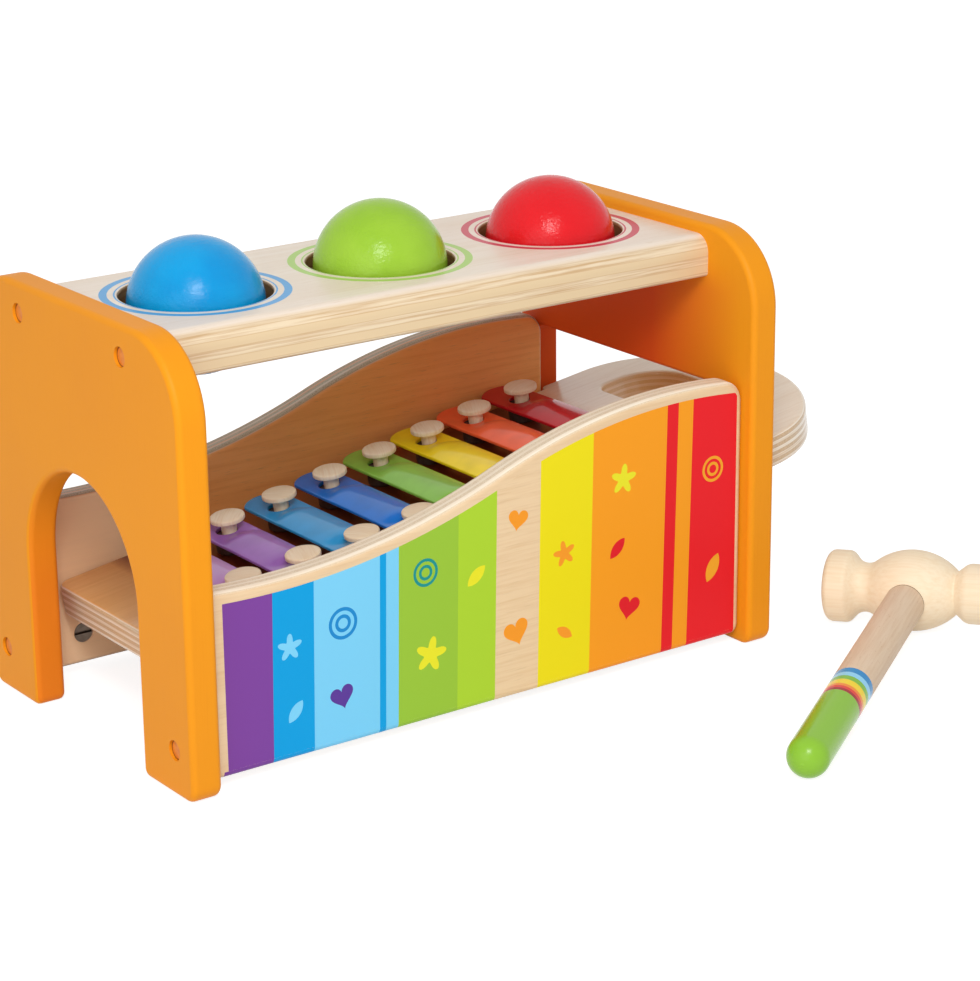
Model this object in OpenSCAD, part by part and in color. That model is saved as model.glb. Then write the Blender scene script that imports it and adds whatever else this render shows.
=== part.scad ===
// Peg pounding bench with a slide-out xylophone, three balls and a hammer.
// Millimetres. X runs along the bench, Y towards its back and Z up. The origin lies on the
// floor under the middle of the right end panel's thickness and depth.

/* [Bench] */
// Length of the bench over both end panels
bench_length = 235.4; // [215:0.1:260]
// Depth of the end panels from front to back
bench_depth = 133.4; // [126:0.1:145]
// Height of the end panels
bench_height = 147; // [143:0.5:165]
// Thickness of the end panels
end_thickness = 10.7; // [9.5:0.1:13]
// Radius of the end panels' upper corners
shoulder_radius = 26; // [12:1:34]
// Radius of the end panels' lower corners
foot_radius = 5; // [3:0.5:7]
// Rounding of the rims of the end panels
end_rim = 2; // [0.5:0.25:2.5]

/* [Ball run openings] */
// Width of the arch in the left end panel
arch_width = 70.8; // [60:0.2:80]
// Height at which the arch turns from straight to round
arch_spring = 54.8; // [45:0.2:62]
// Radius of the corners at the foot of the arch
arch_foot_radius = 3; // [2.5:0.5:5]
// Top of the opening in the right end panel
opening_top = 91.3; // [86:0.1:96]
// Radius of that opening's corners
opening_radius = 4; // [3:0.5:6]
// Room on each side of the handle in that opening
opening_room = 2.6; // [1:0.1:4]
// Room under the xylophone board over that opening's sill
sill_room = 0.5; // [0.3:0.1:2]
// Rounding of that opening's rims
opening_rim = 1.5; // [0.5:0.25:2]

/* [Top board] */
// Width of the top board
top_width = 84.2; // [78:0.2:94]
// Thickness of the top board
top_thickness = 14.4; // [13:0.1:18]
// How far the end panels stand proud of the top board
top_drop = 3.8; // [1:0.1:8]
// Rounding of the top board's upper long edges
top_edge_radius = 6; // [2:0.5:7]
// Rounding of its lower long edges
top_under_radius = 1.5; // [0.5:0.25:3]
// Diameter of the three ball holes
hole_diameter = 49.6; // [48:0.1:52]
// Distance between the middles of the ball holes
hole_pitch = 71; // [66:0.5:76]
// Rounding of the upper rim of a ball hole
hole_rim = 1; // [0.5:0.25:2]

/* [Balls and rings] */
// Diameter of a ball
ball_diameter = 45; // [44.5:0.1:46]
// Depth of the blue ball's middle below the top board's upper face
blue_ball_sink = 4.4; // [2:0.1:5]
// Depth of the green ball's middle below the top board's upper face
green_ball_sink = 2.3; // [2:0.1:5]
// Depth of the red ball's middle below the top board's upper face
red_ball_sink = 4; // [2:0.1:5]
// Thickness of a rubber retaining ring
ring_thickness = 2.6; // [2:0.1:3.4]
// How far a ring sits in its groove in the wall of the hole
ring_bite = 2.2; // [1.5:0.1:3]
// Height of the ring's groove above the top board's lower face
ring_lift = 1.6; // [1:0.1:3]
// Room between a resting ball and the lip of its ring
ball_rest_room = 0.3; // [0.2:0.05:0.6]

/* [Wave panels] */
// Distance from the end panels' front edge to the front wave panel
wave_inset = 5; // [2:0.1:8]
// Thickness of a wave panel
wave_thickness = 9.3; // [8.8:0.1:11]
// Height of a wave panel's lower edge above the floor
wave_lift = 4; // [2:0.5:8]
// Height of the lowest point of the wave
wave_low = 65.3; // [60:0.1:70]
// Height of the highest point of the wave
wave_high = 97.3; // [90:0.1:104]
// Distance from the left end panel to the lowest point
wave_low_inset = 19.3; // [10:0.1:30]
// Distance from the right end panel to the highest point
wave_high_inset = 24.7; // [18:0.1:34]
// Radius of the hollow part of the wave
wave_hollow_radius = 256; // [200:1:300]
// Radius of the wave panel's upper right corner
wave_corner_radius = 8; // [4:0.5:12]
// Radius of its lower corners
wave_foot_radius = 3.5; // [3:0.5:6]
// Rounding of the wave panels' rims
wave_rim = 2.2; // [0.5:0.1:2.8]

/* [Xylophone board] */
// Slope of the xylophone board, in degrees
board_tilt = 8.64; // [7:0.02:9]
// Height of its upper face at the stop against the wave panels
board_entry_height = 67.4; // [65:0.1:70]
// Thickness of the xylophone board
board_thickness = 11.5; // [9:0.1:13]
// Room between the board's left end and the left end panel
board_end_room = 6.3; // [3:0.1:12]
// Room at the shoulders that stop the slide
board_stop_room = 0.3; // [0.1:0.05:0.6]
// Running room on each side of the board between the wave panels
board_side_room = 0.5; // [0.3:0.05:1]
// How far a shoulder of the handle stands out past the board's side
shoulder_step = 2.7; // [2.6:0.1:4]
// Reach of the handle past the shoulders
handle_reach = 63.3; // [56:0.1:75]
// Length of the handle's straight sides
handle_straight = 19.2; // [14:0.1:24]
// Radius of the handle's side bends
handle_bend_radius = 36; // [30:0.5:40]
// Radius of the board's left corners
board_corner_radius = 5; // [3:0.5:8]
// Rounding of the board's rims
board_rim = 1.5; // [0.5:0.25:1.5]
// Distance from the shoulders to the finger slot
slot_start = 12.3; // [8:0.1:16]
// Width of the finger slot
slot_width = 27.8; // [22:0.1:30]
// Length of the finger slot across the board
slot_length = 71.2; // [60:0.2:76]
// Radius of the slot's inner corners
slot_inner_radius = 5; // [3:0.5:8]
// Radius of its outer corners, which follow the handle's round end
slot_outer_radius = 18; // [10:0.5:20]

/* [Runner rails] */
// Width of a runner rail
rail_width = 9; // [6:0.5:12]
// Height of a runner rail
rail_height = 9; // [5:0.5:12]
// Distance from the left end panel to a rail
rail_inset = 34.3; // [30:0.1:60]
// Running room of the board over the rails
rail_room = 0.05; // [0.03:0.01:0.2]

/* [Bars and pegs] */
// Distance from the board's left end to the middle of the first bar
bar_start = 32.3; // [28:0.1:34]
// Distance from bar to bar
bar_pitch = 22.2; // [20:0.1:22.6]
// Length of the shortest bar
bar_short = 70; // [64:0.5:76]
// Length of the longest bar
bar_long = 102.9; // [96:0.1:103.2]
// Width of a bar
bar_width = 16; // [14.5:0.1:18]
// Thickness of a bar's sheet metal
bar_thickness = 1.3; // [1:0.1:1.8]
// Radius of the arc at a bar's tip
bar_tip_radius = 9.5; // [9.2:0.1:12]
// Height of the pressed crown along a bar's middle
bar_crown = 1.8; // [1:0.1:2.4]
// Distance from the peg to the start of the crown
crown_start = 6; // [4.9:0.1:9]
// Diameter of the holes in a bar
bar_hole = 7.6; // [7:0.1:8.6]
// Distance between the two pegs of the shortest bar
peg_span_short = 44.2; // [40:0.2:48]
// Distance between the two pegs of the longest bar
peg_span_long = 68.8; // [64:0.2:72]
// Diameter of a peg's stem
peg_diameter = 5.4; // [5:0.1:6.2]
// Diameter of a peg's head
peg_head_diameter = 12.1; // [11:0.1:12.8]
// Thickness of a peg's head
peg_head = 2.1; // [1.6:0.1:2.8]
// Height of the top of a peg above the board
peg_height = 13.4; // [12.8:0.1:15]
// Depth of a peg in the board
peg_depth = 8; // [5:0.5:8.5]
// Height of a rubber spacer under a bar
spacer_height = 6.5; // [5.5:0.1:7]
// Diameter of a rubber spacer
spacer_diameter = 11; // [10:0.1:12]

/* [Fittings] */
// Distance from the end panel's top to the top board's bolts
top_bolt_drop = 10.3; // [9.5:0.1:11]
// Distance from the top board's edge to its bolts
top_bolt_inset = 8.9; // [5.4:0.1:12.4]
// Height of the wave panels' bolts
wave_bolt_height = 15.4; // [12:0.1:20]
// Distance from the end panel's edge to the wave panels' bolts
wave_bolt_inset = 10.7; // [10:0.1:11]
// Diameter of a bolt
bolt_diameter = 4; // [3.5:0.1:4.5]
// Diameter of a bolt's head
bolt_head_diameter = 6; // [5.4:0.1:6.2]
// Height of a bolt's head
bolt_head = 2.8; // [2:0.1:3]
// Distance from a board's end to the barrel nut
nut_inset = 16.5; // [12:0.1:20]
// Diameter of a barrel nut
nut_diameter = 7; // [6.5:0.1:8]
// Length of a barrel nut
nut_length = 7; // [6:0.1:7.1]
// Diameter of a plug over a bolt head
plug_diameter = 6.6; // [6.4:0.1:7.6]
// Thickness of a plug
plug_thickness = 2.6; // [2:0.1:3]
// Diameter of a locating dowel
dowel_diameter = 6; // [5:0.1:6.4]
// Depth of a dowel in an end panel
dowel_end_depth = 6; // [5:0.1:7]
// Depth of a dowel in a board
dowel_board_depth = 10; // [8:0.1:10.5]
// Distance from the bench's middle to the top board's dowels
top_dowel_offset = 20; // [18:0.5:24]
// Height of the wave panels' dowels
wave_dowel_height = 44; // [36:0.5:46]

/* [Hammer] */
// Radius of the hammer's head at its thick middle
bulge_radius = 14.45; // [13.5:0.05:16]
// Radius of the long bow over that middle
barrel_radius = 22; // [20:0.5:26]
// Length of the hammer's head
head_length = 61.4; // [56:0.2:68]
// Radius of the head's neck at its wide end
neck_radius = 8.8; // [8:0.1:9.4]
// Radius of its wide striking rim
striker_radius = 12.9; // [12:0.1:13.4]
// Length of the full part of that rim
striker_length = 8.2; // [6:0.1:9]
// Length of the slope from the rim to its neck
striker_slope = 3.6; // [3:0.1:4.2]
// Radius where the neck meets the head's middle and the slope
neck_fillet = 5; // [3:0.1:5.1]
// Rounding of a striking face's edge
striker_edge = 2.5; // [1.5:0.1:3]
// Radius of the head in the groove at its narrow end
groove_neck_radius = 7.8; // [7.2:0.1:8.4]
// Radius of its narrow striking end
heel_radius = 10.7; // [10:0.1:11.4]
// Length of the full part of the narrow end
heel_length = 11; // [10:0.1:11.2]
// Length of the slope from the narrow end to the groove
heel_slope = 3.5; // [3:0.1:3.6]
// Rounding of the narrow end's shoulder
heel_shoulder = 4.3; // [2:0.1:5]
// Radius of the hammer's handle
handle_radius = 7.1; // [6:0.1:7.4]
// Distance from the head's middle to the middle of the handle's round tip
handle_length = 139.3; // [130:0.1:150]
// Depth of the handle past the head's middle
handle_tenon = 8; // [4:0.1:9]
// Direction of the head's axis on the floor, in degrees
hammer_turn = 122.65; // [100:0.05:140]
// Distance of the head's middle to the right of the right end panel
hammer_right = 47.7; // [40:0.1:80]
// Distance of the head's middle in front of the end panels
hammer_front = 21.3; // [18:0.1:60]

/* [Hidden] */
$fn = 96;

// Overrun of every cut past the face it opens
overrun = 0.5;
// Radial room of pins, plugs and stems in their holes
fit_room = 0.05;
// How far a web's point is pushed past its corner, as a share of its distance from the arc
web_share = 1.05;
// Shortest straight run between two bends that gets its rims rounded
least_run = 0.01;
// Radius of an arc that runs into another one, as a share of the radius that leaves nothing straight
join_share = 0.99;
// Facets of a curved plate's quarter-round rim, and how far its facets may leave the true arcs
rim_facets = 4;
facet_error = 0.02;
// How far the xylophone's shoulders lean back towards the handle
shoulder_lean = 0.2;
// How far the xylophone board's bed stands above the faces round it
bed_rise = 0.02;
// Distance from the board's edges to its bed, as a share of its corners' radius
bed_margin_share = 1.3;
// Distance from a wave panel's left end to its hollow arc, as a share of its foot's radius
lead_share = 1.2;
// Radii of the xylophone's shoulders and of the corners behind them, as shares of the step
shoulder_share = 0.58;
shoulder_root_share = 0.37;
// How deep a plug's face lies in the end panel's face
plug_recess = 1;
// Length of a bolt past the middle of its nut
bolt_overshoot = 5;
// Room past a bolt's or a dowel's end in its hole
end_room = 0.5;
// Width and depth of the slot in a barrel nut, and across flats of a bolt's hexagon socket
nut_slot_width = 1;
nut_slot_depth = 1;
socket_width = 2.5;
// Chamfer at the ends of a dowel
dowel_chamfer = 0.8;
// Rounding of a peg's head at its rim, and rise of its dome
peg_edge = 0.5;
peg_dome = 0.4;
// Rounding of a rubber spacer's rims
spacer_edge = 0.8;
// Radius at the bottom of the groove in the hammer's head
groove_fillet = 0.4;

half_depth = bench_depth / 2;
right_outer = end_thickness / 2;
right_inner = -right_outer;
left_outer = right_outer - bench_length;
left_inner = left_outer + end_thickness;
middle_x = (left_outer + right_outer) / 2;

top_face = bench_height - top_drop;
top_under = top_face - top_thickness;
hole_radius = hole_diameter / 2;
ball_radius = ball_diameter / 2;
ball_places = [-hole_pitch, 0, hole_pitch];
ball_sinks = [blue_ball_sink, green_ball_sink, red_ball_sink];
ring_base = top_under + ring_lift;
lip_radius = ring_thickness / 2;
groove_radius = hole_radius + ring_bite;

wave_outer = half_depth - wave_inset;
wave_inner = wave_outer - wave_thickness;

stop_x = right_inner + board_stop_room;
board_half = wave_inner - board_side_room;
handle_half = board_half + shoulder_step;
board_length = (stop_x - left_inner - board_end_room) / cos(board_tilt);
sill = underside(right_inner) - sill_room;
opening_half = handle_half + opening_room;

bar_count = 8;
// How far a bar has slid down the slope, until its holes nearly touch the pegs
bar_slip = (bar_hole - peg_diameter) / 2 - fit_room;
top_bolt_height = bench_height - top_bolt_drop;
top_bolt_y = top_width / 2 - top_bolt_inset;
wave_bolt_y = half_depth - wave_bolt_inset;
wave_middle = (wave_outer + wave_inner) / 2;
counterbore_depth = plug_thickness + bolt_head + plug_recess;
counterbore_radius = plug_diameter / 2 + fit_room;
bolt_radius = bolt_diameter / 2;

// Height of the xylophone board's lower face at a place along the bench
function underside(x) = board_entry_height + (x - stop_x) * tan(board_tilt)
  - board_thickness / cos(board_tilt);
function unit(v) = v / norm(v);
function polar(r, angle) = [r * cos(angle), r * sin(angle)];
// Even steps from the first bar's value to the last one's
function along_bars(i, first, last) = first + (last - first) * i / (bar_count - 1);

// The bend at one point of an outline: [point, middle of its arc, start and end of the arc, turn]
function bend(points, radii, i) =
  let (
    n = len(points),
    p = points[i],
    a = unit(points[(i + n - 1) % n] - p),
    b = unit(points[(i + 1) % n] - p),
    half = acos(a * b) / 2,
    run = radii[i] / tan(half)
  ) [p, p + unit(a + b) * radii[i] / sin(half), p + a * run, p + b * run, cross(-a, b)];

function heading(v) = atan2(v.y, v.x);

// What lies between a corner's two sides and its arc
module corner_web(bend, r) {
  difference() {
    polygon([bend[1] + (bend[0] - bend[1]) * web_share, bend[2], bend[1], bend[3]]);
    translate(bend[1]) circle(r);
  }
}

// An outline with a round bend at each of its points, which run anticlockwise
module rounded_outline(points, radii) {
  difference() {
    union() {
      polygon(points);
      for (i = [0 : len(points) - 1]) {
        bend = bend(points, radii, i);
        if (radii[i] > 0 && bend[4] < 0) corner_web(bend, radii[i]);
      }
    }
    for (i = [0 : len(points) - 1]) {
      bend = bend(points, radii, i);
      if (radii[i] > 0 && bend[4] > 0) corner_web(bend, radii[i]);
    }
  }
}

// What a round rim takes off a square edge that lies at the origin
module rim_notch(rim) {
  difference() {
    translate([-rim, -rim]) square(rim + overrun);
    translate([-rim, -rim]) circle(rim);
  }
}

module rim_arc(r, start, sweep, rim, hollow) {
  rotate(start) rotate_extrude(angle = sweep)
    translate([r, 0]) mirror([hollow ? 1 : 0, 0]) rim_notch(rim);
}

module rim_line(from, to, rim, inside) {
  translate(from) rotate(heading(to - from) - 90) mirror([inside ? 1 : 0, 0, 0])
    translate([0, norm(to - from), 0]) rotate([90, 0, 0]) linear_extrude(norm(to - from)) rim_notch(rim);
}

// The rim cuts all along an outline, over both faces of a plate
module rim_cuts(points, radii, thickness, rim, inside = false) {
  n = len(points);
  for (side = [0, 1], i = [0 : n - 1]) {
    here = bend(points, radii, i);
    next = bend(points, radii, (i + 1) % n);
    outward = here[4] > 0;
    start = heading((outward ? here[2] : here[3]) - here[1]);
    sweep = 180 - acos(unit(here[2] - here[0]) * unit(here[3] - here[0]));
    translate([0, 0, side * thickness]) mirror([0, 0, 1 - side]) {
      if (norm(next[2] - here[3]) > least_run) rim_line(here[3], next[2], rim, inside);
      if (radii[i] > 0) translate(here[1])
        rim_arc(radii[i], start, sweep, rim, outward == inside);
    }
  }
}

// A plate with round corners and round rims, lying on its lower face
module soft_plate(points, radii, thickness, rim) {
  difference() {
    linear_extrude(thickness) rounded_outline(points, radii);
    rim_cuts(points, radii, thickness, rim);
  }
}

// The points of an outline whose bends are drawn in short facets: [point, outward direction]
function traced(points, radii) = [
  for (i = [0 : len(points) - 1])
    let (
      here = bend(points, radii, i),
      outward = here[4] > 0 ? 1 : -1,
      start = heading(here[2] - here[1]),
      sweep = outward * (180 - acos(unit(here[2] - here[0]) * unit(here[3] - here[0]))),
      facets = ceil(abs(sweep) / acos(1 - facet_error / radii[i]) / 2)
    )
    for (k = [0 : facets])
      let (way = polar(1, start + sweep * k / facets)) [here[1] + radii[i] * way, outward * way]
];

// Strips across an outline whose second half mirrors its first, as lists of its points
function strips(n) = [
  for (i = [0 : ceil(n / 2) - 2])
    i + 1 == n - 2 - i ? [i, i + 1, n - 1 - i] : [i, i + 1, n - 2 - i, n - 1 - i]
];

// A plate like the one above for an outline with long arcs that run into each other
module curved_plate(points, radii, thickness, rim, mirrored = false) {
  trace = traced(points, radii);
  n = len(trace);
  sheet = mirrored ? strips(n) : [[for (i = [0 : n - 1]) i]];
  lower = [for (k = [0 : rim_facets]) 90 * k / rim_facets];
  rings = concat(
    [for (angle = lower) [rim * (1 - sin(angle)), rim * (1 - cos(angle))]],
    [for (angle = lower) [rim * (1 - cos(angle)), thickness - rim * (1 - sin(angle))]]
  );
  last = len(rings) - 1;
  polyhedron(
    points = [
      for (ring = rings, t = trace)
        let (p = t[0] - t[1] * ring[0]) [p.x, p.y, ring[1]]
    ],
    faces = concat(
      sheet,
      [for (face = sheet) [for (i = [len(face) - 1 : -1 : 0]) last * n + face[i]]],
      [
        for (k = [0 : last - 1], i = [0 : n - 1])
          let (j = (i + 1) % n) [k * n + i, (k + 1) * n + i, (k + 1) * n + j, k * n + j]
      ]
    )
  );
}

// A straight rod along X
module rod(from, to, r) {
  translate([from, 0, 0]) rotate([0, 90, 0]) cylinder(h = to - from, r = r);
}

// A frame at an end panel's inner face, whose X runs inwards: side 0 is left, 1 is right
module at_end(side) {
  if (side == 0) translate([left_inner, 0, 0]) children();
  else translate([right_inner, 0, 0]) mirror([1, 0, 0]) children();
}

// A plate that stands across the bench, drawn in Y and Z and as thick as an end panel
module across_bench(x) {
  translate([x, 0, 0]) rotate([90, 0, 90]) children();
}

// A plate that stands along the bench behind its front face, drawn in X and Z
module along_bench(y) {
  translate([0, y, 0]) rotate([90, 0, 0]) children();
}

// The xylophone's frame: X climbs along the board from its stop, Z rises from its face
module on_board() {
  translate([stop_x, 0, board_entry_height]) rotate([0, -board_tilt, 0]) children();
}

// Each bolt's place in an end panel: the top board's with upright nuts, then the wave panels'
module at_top_bolts() {
  for (y = [-top_bolt_y, top_bolt_y]) translate([0, y, top_bolt_height]) children();
}

module at_wave_bolts() {
  for (back = [0, 1]) mirror([0, back, 0]) translate([0, -wave_bolt_y, wave_bolt_height]) children();
}

module at_dowels() {
  for (y = [-top_dowel_offset, top_dowel_offset])
    translate([0, y, (top_face + top_under) / 2]) children();
  for (y = [-wave_middle, wave_middle]) translate([0, y, wave_dowel_height]) children();
}

// What bolts, plugs and dowels take out of an end panel, or out of the boards between them
module fitting_cuts(side) {
  at_end(side) {
    for (set = [0, 1]) at_bolts(set) {
      rod(-end_thickness - overrun, counterbore_depth - end_thickness, counterbore_radius);
      rod(-end_thickness, nut_inset + bolt_overshoot + end_room, bolt_radius + fit_room);
    }
    at_dowels() rod(-dowel_end_depth - end_room, dowel_board_depth + end_room,
                    dowel_diameter / 2 + fit_room);
  }
}

module at_bolts(set) {
  if (set == 0) at_top_bolts() children();
  else at_wave_bolts() children();
}

// The hole of a barrel nut, from the face that it opens in to past the nut
module nut_hole(open, past) {
  translate([0, 0, -open - overrun])
    cylinder(h = open + overrun + past, r = nut_diameter / 2 + fit_room);
}

end_outline = [
  [-half_depth, 0], [half_depth, 0], [half_depth, bench_height], [-half_depth, bench_height]
];
end_radii = [foot_radius, foot_radius, shoulder_radius, shoulder_radius];

module left_end_panel() {
  half = arch_width / 2;
  crown = arch_spring + half;
  points = [
    end_outline[0], [-half, 0], [-half, crown], [half, crown], [half, 0],
    end_outline[1], end_outline[2], end_outline[3]
  ];
  radii = [
    foot_radius, arch_foot_radius, half, half, arch_foot_radius,
    foot_radius, shoulder_radius, shoulder_radius
  ];
  color("#F39A1C") difference() {
    across_bench(left_outer) soft_plate(points, radii, end_thickness, end_rim);
    fitting_cuts(0);
  }
}

module right_end_panel() {
  opening = [
    [-opening_half, sill], [opening_half, sill],
    [opening_half, opening_top], [-opening_half, opening_top]
  ];
  opening_radii = [for (p = opening) opening_radius];
  color("#F39A1C") difference() {
    across_bench(right_inner) difference() {
      soft_plate(end_outline, end_radii, end_thickness, end_rim);
      translate([0, 0, -overrun]) linear_extrude(end_thickness + 2 * overrun)
        rounded_outline(opening, opening_radii);
      rim_cuts(opening, opening_radii, end_thickness, opening_rim, true);
    }
    fitting_cuts(1);
  }
}

module top_board() {
  half = top_width / 2;
  section = [[-half, top_under], [half, top_under], [half, top_face], [-half, top_face]];
  section_radii = [top_under_radius, top_under_radius, top_edge_radius, top_edge_radius];
  nut_reach = top_bolt_height - top_under;
  color("#E9DACB") difference() {
    across_bench(left_inner) linear_extrude(right_inner - left_inner)
      rounded_outline(section, section_radii);
    for (place = ball_places) translate([middle_x + place, 0, 0]) {
      translate([0, 0, top_under - overrun]) cylinder(h = top_thickness + 2 * overrun, r = hole_radius);
      translate([0, 0, ring_base]) cylinder(h = ring_thickness, r = groove_radius);
      translate([0, 0, top_face]) rim_arc(hole_radius, 0, 360, hole_rim, true);
    }
    for (side = [0, 1]) {
      fitting_cuts(side);
      at_end(side) at_top_bolts() translate([nut_inset, 0, 0])
        nut_hole(nut_reach, nut_length / 2 + fit_room);
    }
  }
}

// The wave panel's outline: a hollow arc and a crown arc that share one slope where they meet
module wave_panel() {
  low = [left_inner + wave_low_inset, wave_low];
  high = [right_inner - wave_high_inset, wave_high];
  slope = 2 * atan((high.y - low.y) / (high.x - low.x));
  crown_radius = (high.x - low.x) / sin(slope) - wave_hollow_radius;
  hollow = low + [0, wave_hollow_radius];
  crown = high - [0, crown_radius];
  lead_run = lead_share * wave_foot_radius;
  lead = asin((wave_low_inset - lead_run) / wave_hollow_radius);
  corner_x = right_inner - wave_corner_radius;
  reach = crown_radius - wave_corner_radius;
  corner = [corner_x, crown.y + sqrt(pow(reach, 2) - pow(corner_x - crown.x, 2))];
  fall = heading(corner - crown);
  points = [
    [left_inner, wave_lift],
    [right_inner, wave_lift],
    corner + polar(wave_corner_radius / cos(fall / 2), fall / 2),
    crown + polar(crown_radius / cos((90 + slope - fall) / 2), (90 + slope + fall) / 2),
    hollow + polar(wave_hollow_radius / cos((slope + lead) / 2), (slope - lead) / 2 - 90),
    hollow + polar(wave_hollow_radius, -lead - 90) + [-lead_run, lead_run * tan(lead)]
  ];
  radii = [
    wave_foot_radius, wave_foot_radius, wave_corner_radius * join_share,
    crown_radius * join_share, wave_hollow_radius * join_share, wave_foot_radius
  ];
  nut_reach = wave_bolt_y - wave_inner;
  difference() {
    along_bench(-wave_inner) curved_plate(points, radii, wave_thickness, wave_rim);
    for (side = [0, 1]) {
      fitting_cuts(side);
      at_end(side) translate([nut_inset, -wave_bolt_y, wave_bolt_height]) rotate([90, 0, 0])
        nut_hole(nut_reach, nut_length / 2 + fit_room);
    }
  }
}

module front_wave_panel() {
  color("#E3C9A9") wave_panel();
}

module back_wave_panel() {
  color("#D9BC96") mirror([0, 1, 0]) wave_panel();
}

module runner_rail() {
  from = left_inner + rail_inset;
  face = -rail_room / cos(board_tilt);
  color("#D8BC92") along_bench(rail_width - wave_inner) linear_extrude(rail_width) polygon([
    [from, underside(from) + face - rail_height],
    [right_inner, underside(right_inner) + face - rail_height],
    [right_inner, underside(right_inner) + face],
    [from, underside(from) + face]
  ]);
}

module front_runner_rail() {
  runner_rail();
}

module back_runner_rail() {
  mirror([0, 1, 0]) runner_rail();
}

module bolts(side) {
  head_base = counterbore_depth - end_thickness;
  color("#B8BCC0") at_end(side) for (set = [0, 1]) at_bolts(set) difference() {
    union() {
      rod(head_base - bolt_head, head_base, bolt_head_diameter / 2);
      rod(head_base - overrun, nut_inset + bolt_overshoot, bolt_radius);
    }
    translate([head_base - bolt_head, 0, 0]) rotate([0, 90, 0])
      cylinder(h = bolt_head, r = socket_width / sqrt(3), center = true, $fn = 6);
  }
}

// A barrel nut with its slotted end down, crossed by its bolt
module barrel_nut() {
  difference() {
    cylinder(h = nut_length, r = nut_diameter / 2, center = true);
    rotate([0, 90, 0]) cylinder(h = nut_diameter + 2 * overrun, r = bolt_radius + fit_room, center = true);
    translate([0, 0, -nut_length / 2])
      cube([nut_diameter + 2 * overrun, nut_slot_width, 2 * nut_slot_depth], center = true);
  }
}

module barrel_nuts(side) {
  color("#A9ADB2") at_end(side) translate([nut_inset, 0, 0]) {
    at_top_bolts() barrel_nut();
    at_wave_bolts() rotate([90, 0, 0]) barrel_nut();
  }
}

module plugs(side) {
  color("#E8901A") at_end(side) for (set = [0, 1]) at_bolts(set)
    rod(plug_recess - end_thickness, plug_recess + plug_thickness - end_thickness, plug_diameter / 2);
}

module dowels(side) {
  length = dowel_end_depth + dowel_board_depth;
  radius = dowel_diameter / 2;
  color("#E0C49A") at_end(side) at_dowels() translate([-dowel_end_depth, 0, 0]) rotate([0, 90, 0])
    rotate_extrude() polygon([
      [0, 0], [radius - dowel_chamfer, 0], [radius, dowel_chamfer],
      [radius, length - dowel_chamfer], [radius - dowel_chamfer, length], [0, length]
    ]);
}

// A rubber ring whose round lip carries a ball that sinks this far below the top board's face
module ball_ring(place, sink) {
  rise = top_face - sink - ring_base - lip_radius;
  lip = sqrt(pow(ball_radius + lip_radius + ball_rest_room, 2) - pow(rise, 2));
  color("#3A3A3C") translate([middle_x + place, 0, ring_base]) rotate_extrude() union() {
    translate([lip, 0]) square([groove_radius - fit_room - lip, ring_thickness]);
    translate([lip, lip_radius]) circle(lip_radius);
  }
}

module ball(place, sink) {
  translate([middle_x + place, 0, top_face - sink]) sphere(ball_radius);
}

// The block under the bars, whose whole faces take the pegs' holes
module board_bed() {
  margin = bed_margin_share * board_corner_radius;
  side = board_half - margin;
  translate([margin - board_length, -side, 0])
    cube([board_length - 2 * margin, 2 * side, board_thickness]);
}

// The board's outline: square shoulders, straight handle sides and a round end of three arcs
module xylophone_board() {
  bend = handle_bend_radius;
  side = handle_half - bend;
  rise = handle_reach - handle_straight;
  tip_radius = (pow(rise, 2) + pow(side, 2) - pow(bend, 2)) / (2 * (rise - bend));
  tip_middle = handle_reach - tip_radius;
  turn = atan2(side, handle_straight - tip_middle);
  knee = [handle_straight, side] + polar(bend / cos((90 - turn) / 2), (90 + turn) / 2);
  points = [
    [-board_length, -board_half], [0, -board_half], [shoulder_lean, -handle_half],
    [knee.x, -knee.y], [tip_middle + tip_radius / cos(turn), 0], knee,
    [shoulder_lean, handle_half], [0, board_half], [-board_length, board_half]
  ];
  shoulder = shoulder_step * shoulder_share;
  root = shoulder_step * shoulder_root_share;
  radii = [
    board_corner_radius, root, shoulder, bend * join_share, tip_radius * join_share,
    bend * join_share, shoulder, root, board_corner_radius
  ];
  slot_end = slot_start + slot_width;
  slot_half = slot_length / 2;
  slot = [
    [slot_start, -slot_half], [slot_end, -slot_half], [slot_end, slot_half], [slot_start, slot_half]
  ];
  slot_radii = [slot_inner_radius, slot_outer_radius, slot_outer_radius, slot_inner_radius];
  color("#E8D6B4") on_board() difference() {
    translate([0, 0, -board_thickness]) union() {
      translate([0, 0, bed_rise])
        curved_plate(points, radii, board_thickness - 2 * bed_rise, board_rim, true);
      board_bed();
    }
    translate([0, 0, -board_thickness]) {
      translate([0, 0, -overrun]) linear_extrude(board_thickness + 2 * overrun)
        rounded_outline(slot, slot_radii);
      rim_cuts(slot, slot_radii, board_thickness, board_rim, true);
    }
    for (side = [-1, 1]) at_pegs(side) translate([0, 0, -peg_depth - end_room])
      cylinder(h = peg_depth + end_room + overrun, r = peg_diameter / 2 + fit_room);
  }
}

// The middle of one bar on the board's face, from the first at the low end
module at_bar(i) {
  translate([bar_start - board_length + i * bar_pitch, 0, 0]) children();
}

// One row of pegs: side -1 is the front row, 1 the back row
module at_pegs(side) {
  for (i = [0 : bar_count - 1]) at_bar(i)
    translate([0, side * along_bars(i, peg_span_short, peg_span_long) / 2, 0]) children();
}

// The round-ended crown of a bar as a solid below its face, for the metal's outer or inner skin
module crown_body(half_run, radius, drop) {
  reach = half_run + radius;
  translate([0, 0, -drop]) rotate([90, 0, 0]) rotate_extrude() rounded_outline(
    [[0, -reach], [radius, -reach], [radius, reach], [0, reach]], [0, radius, radius, 0]);
}

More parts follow.
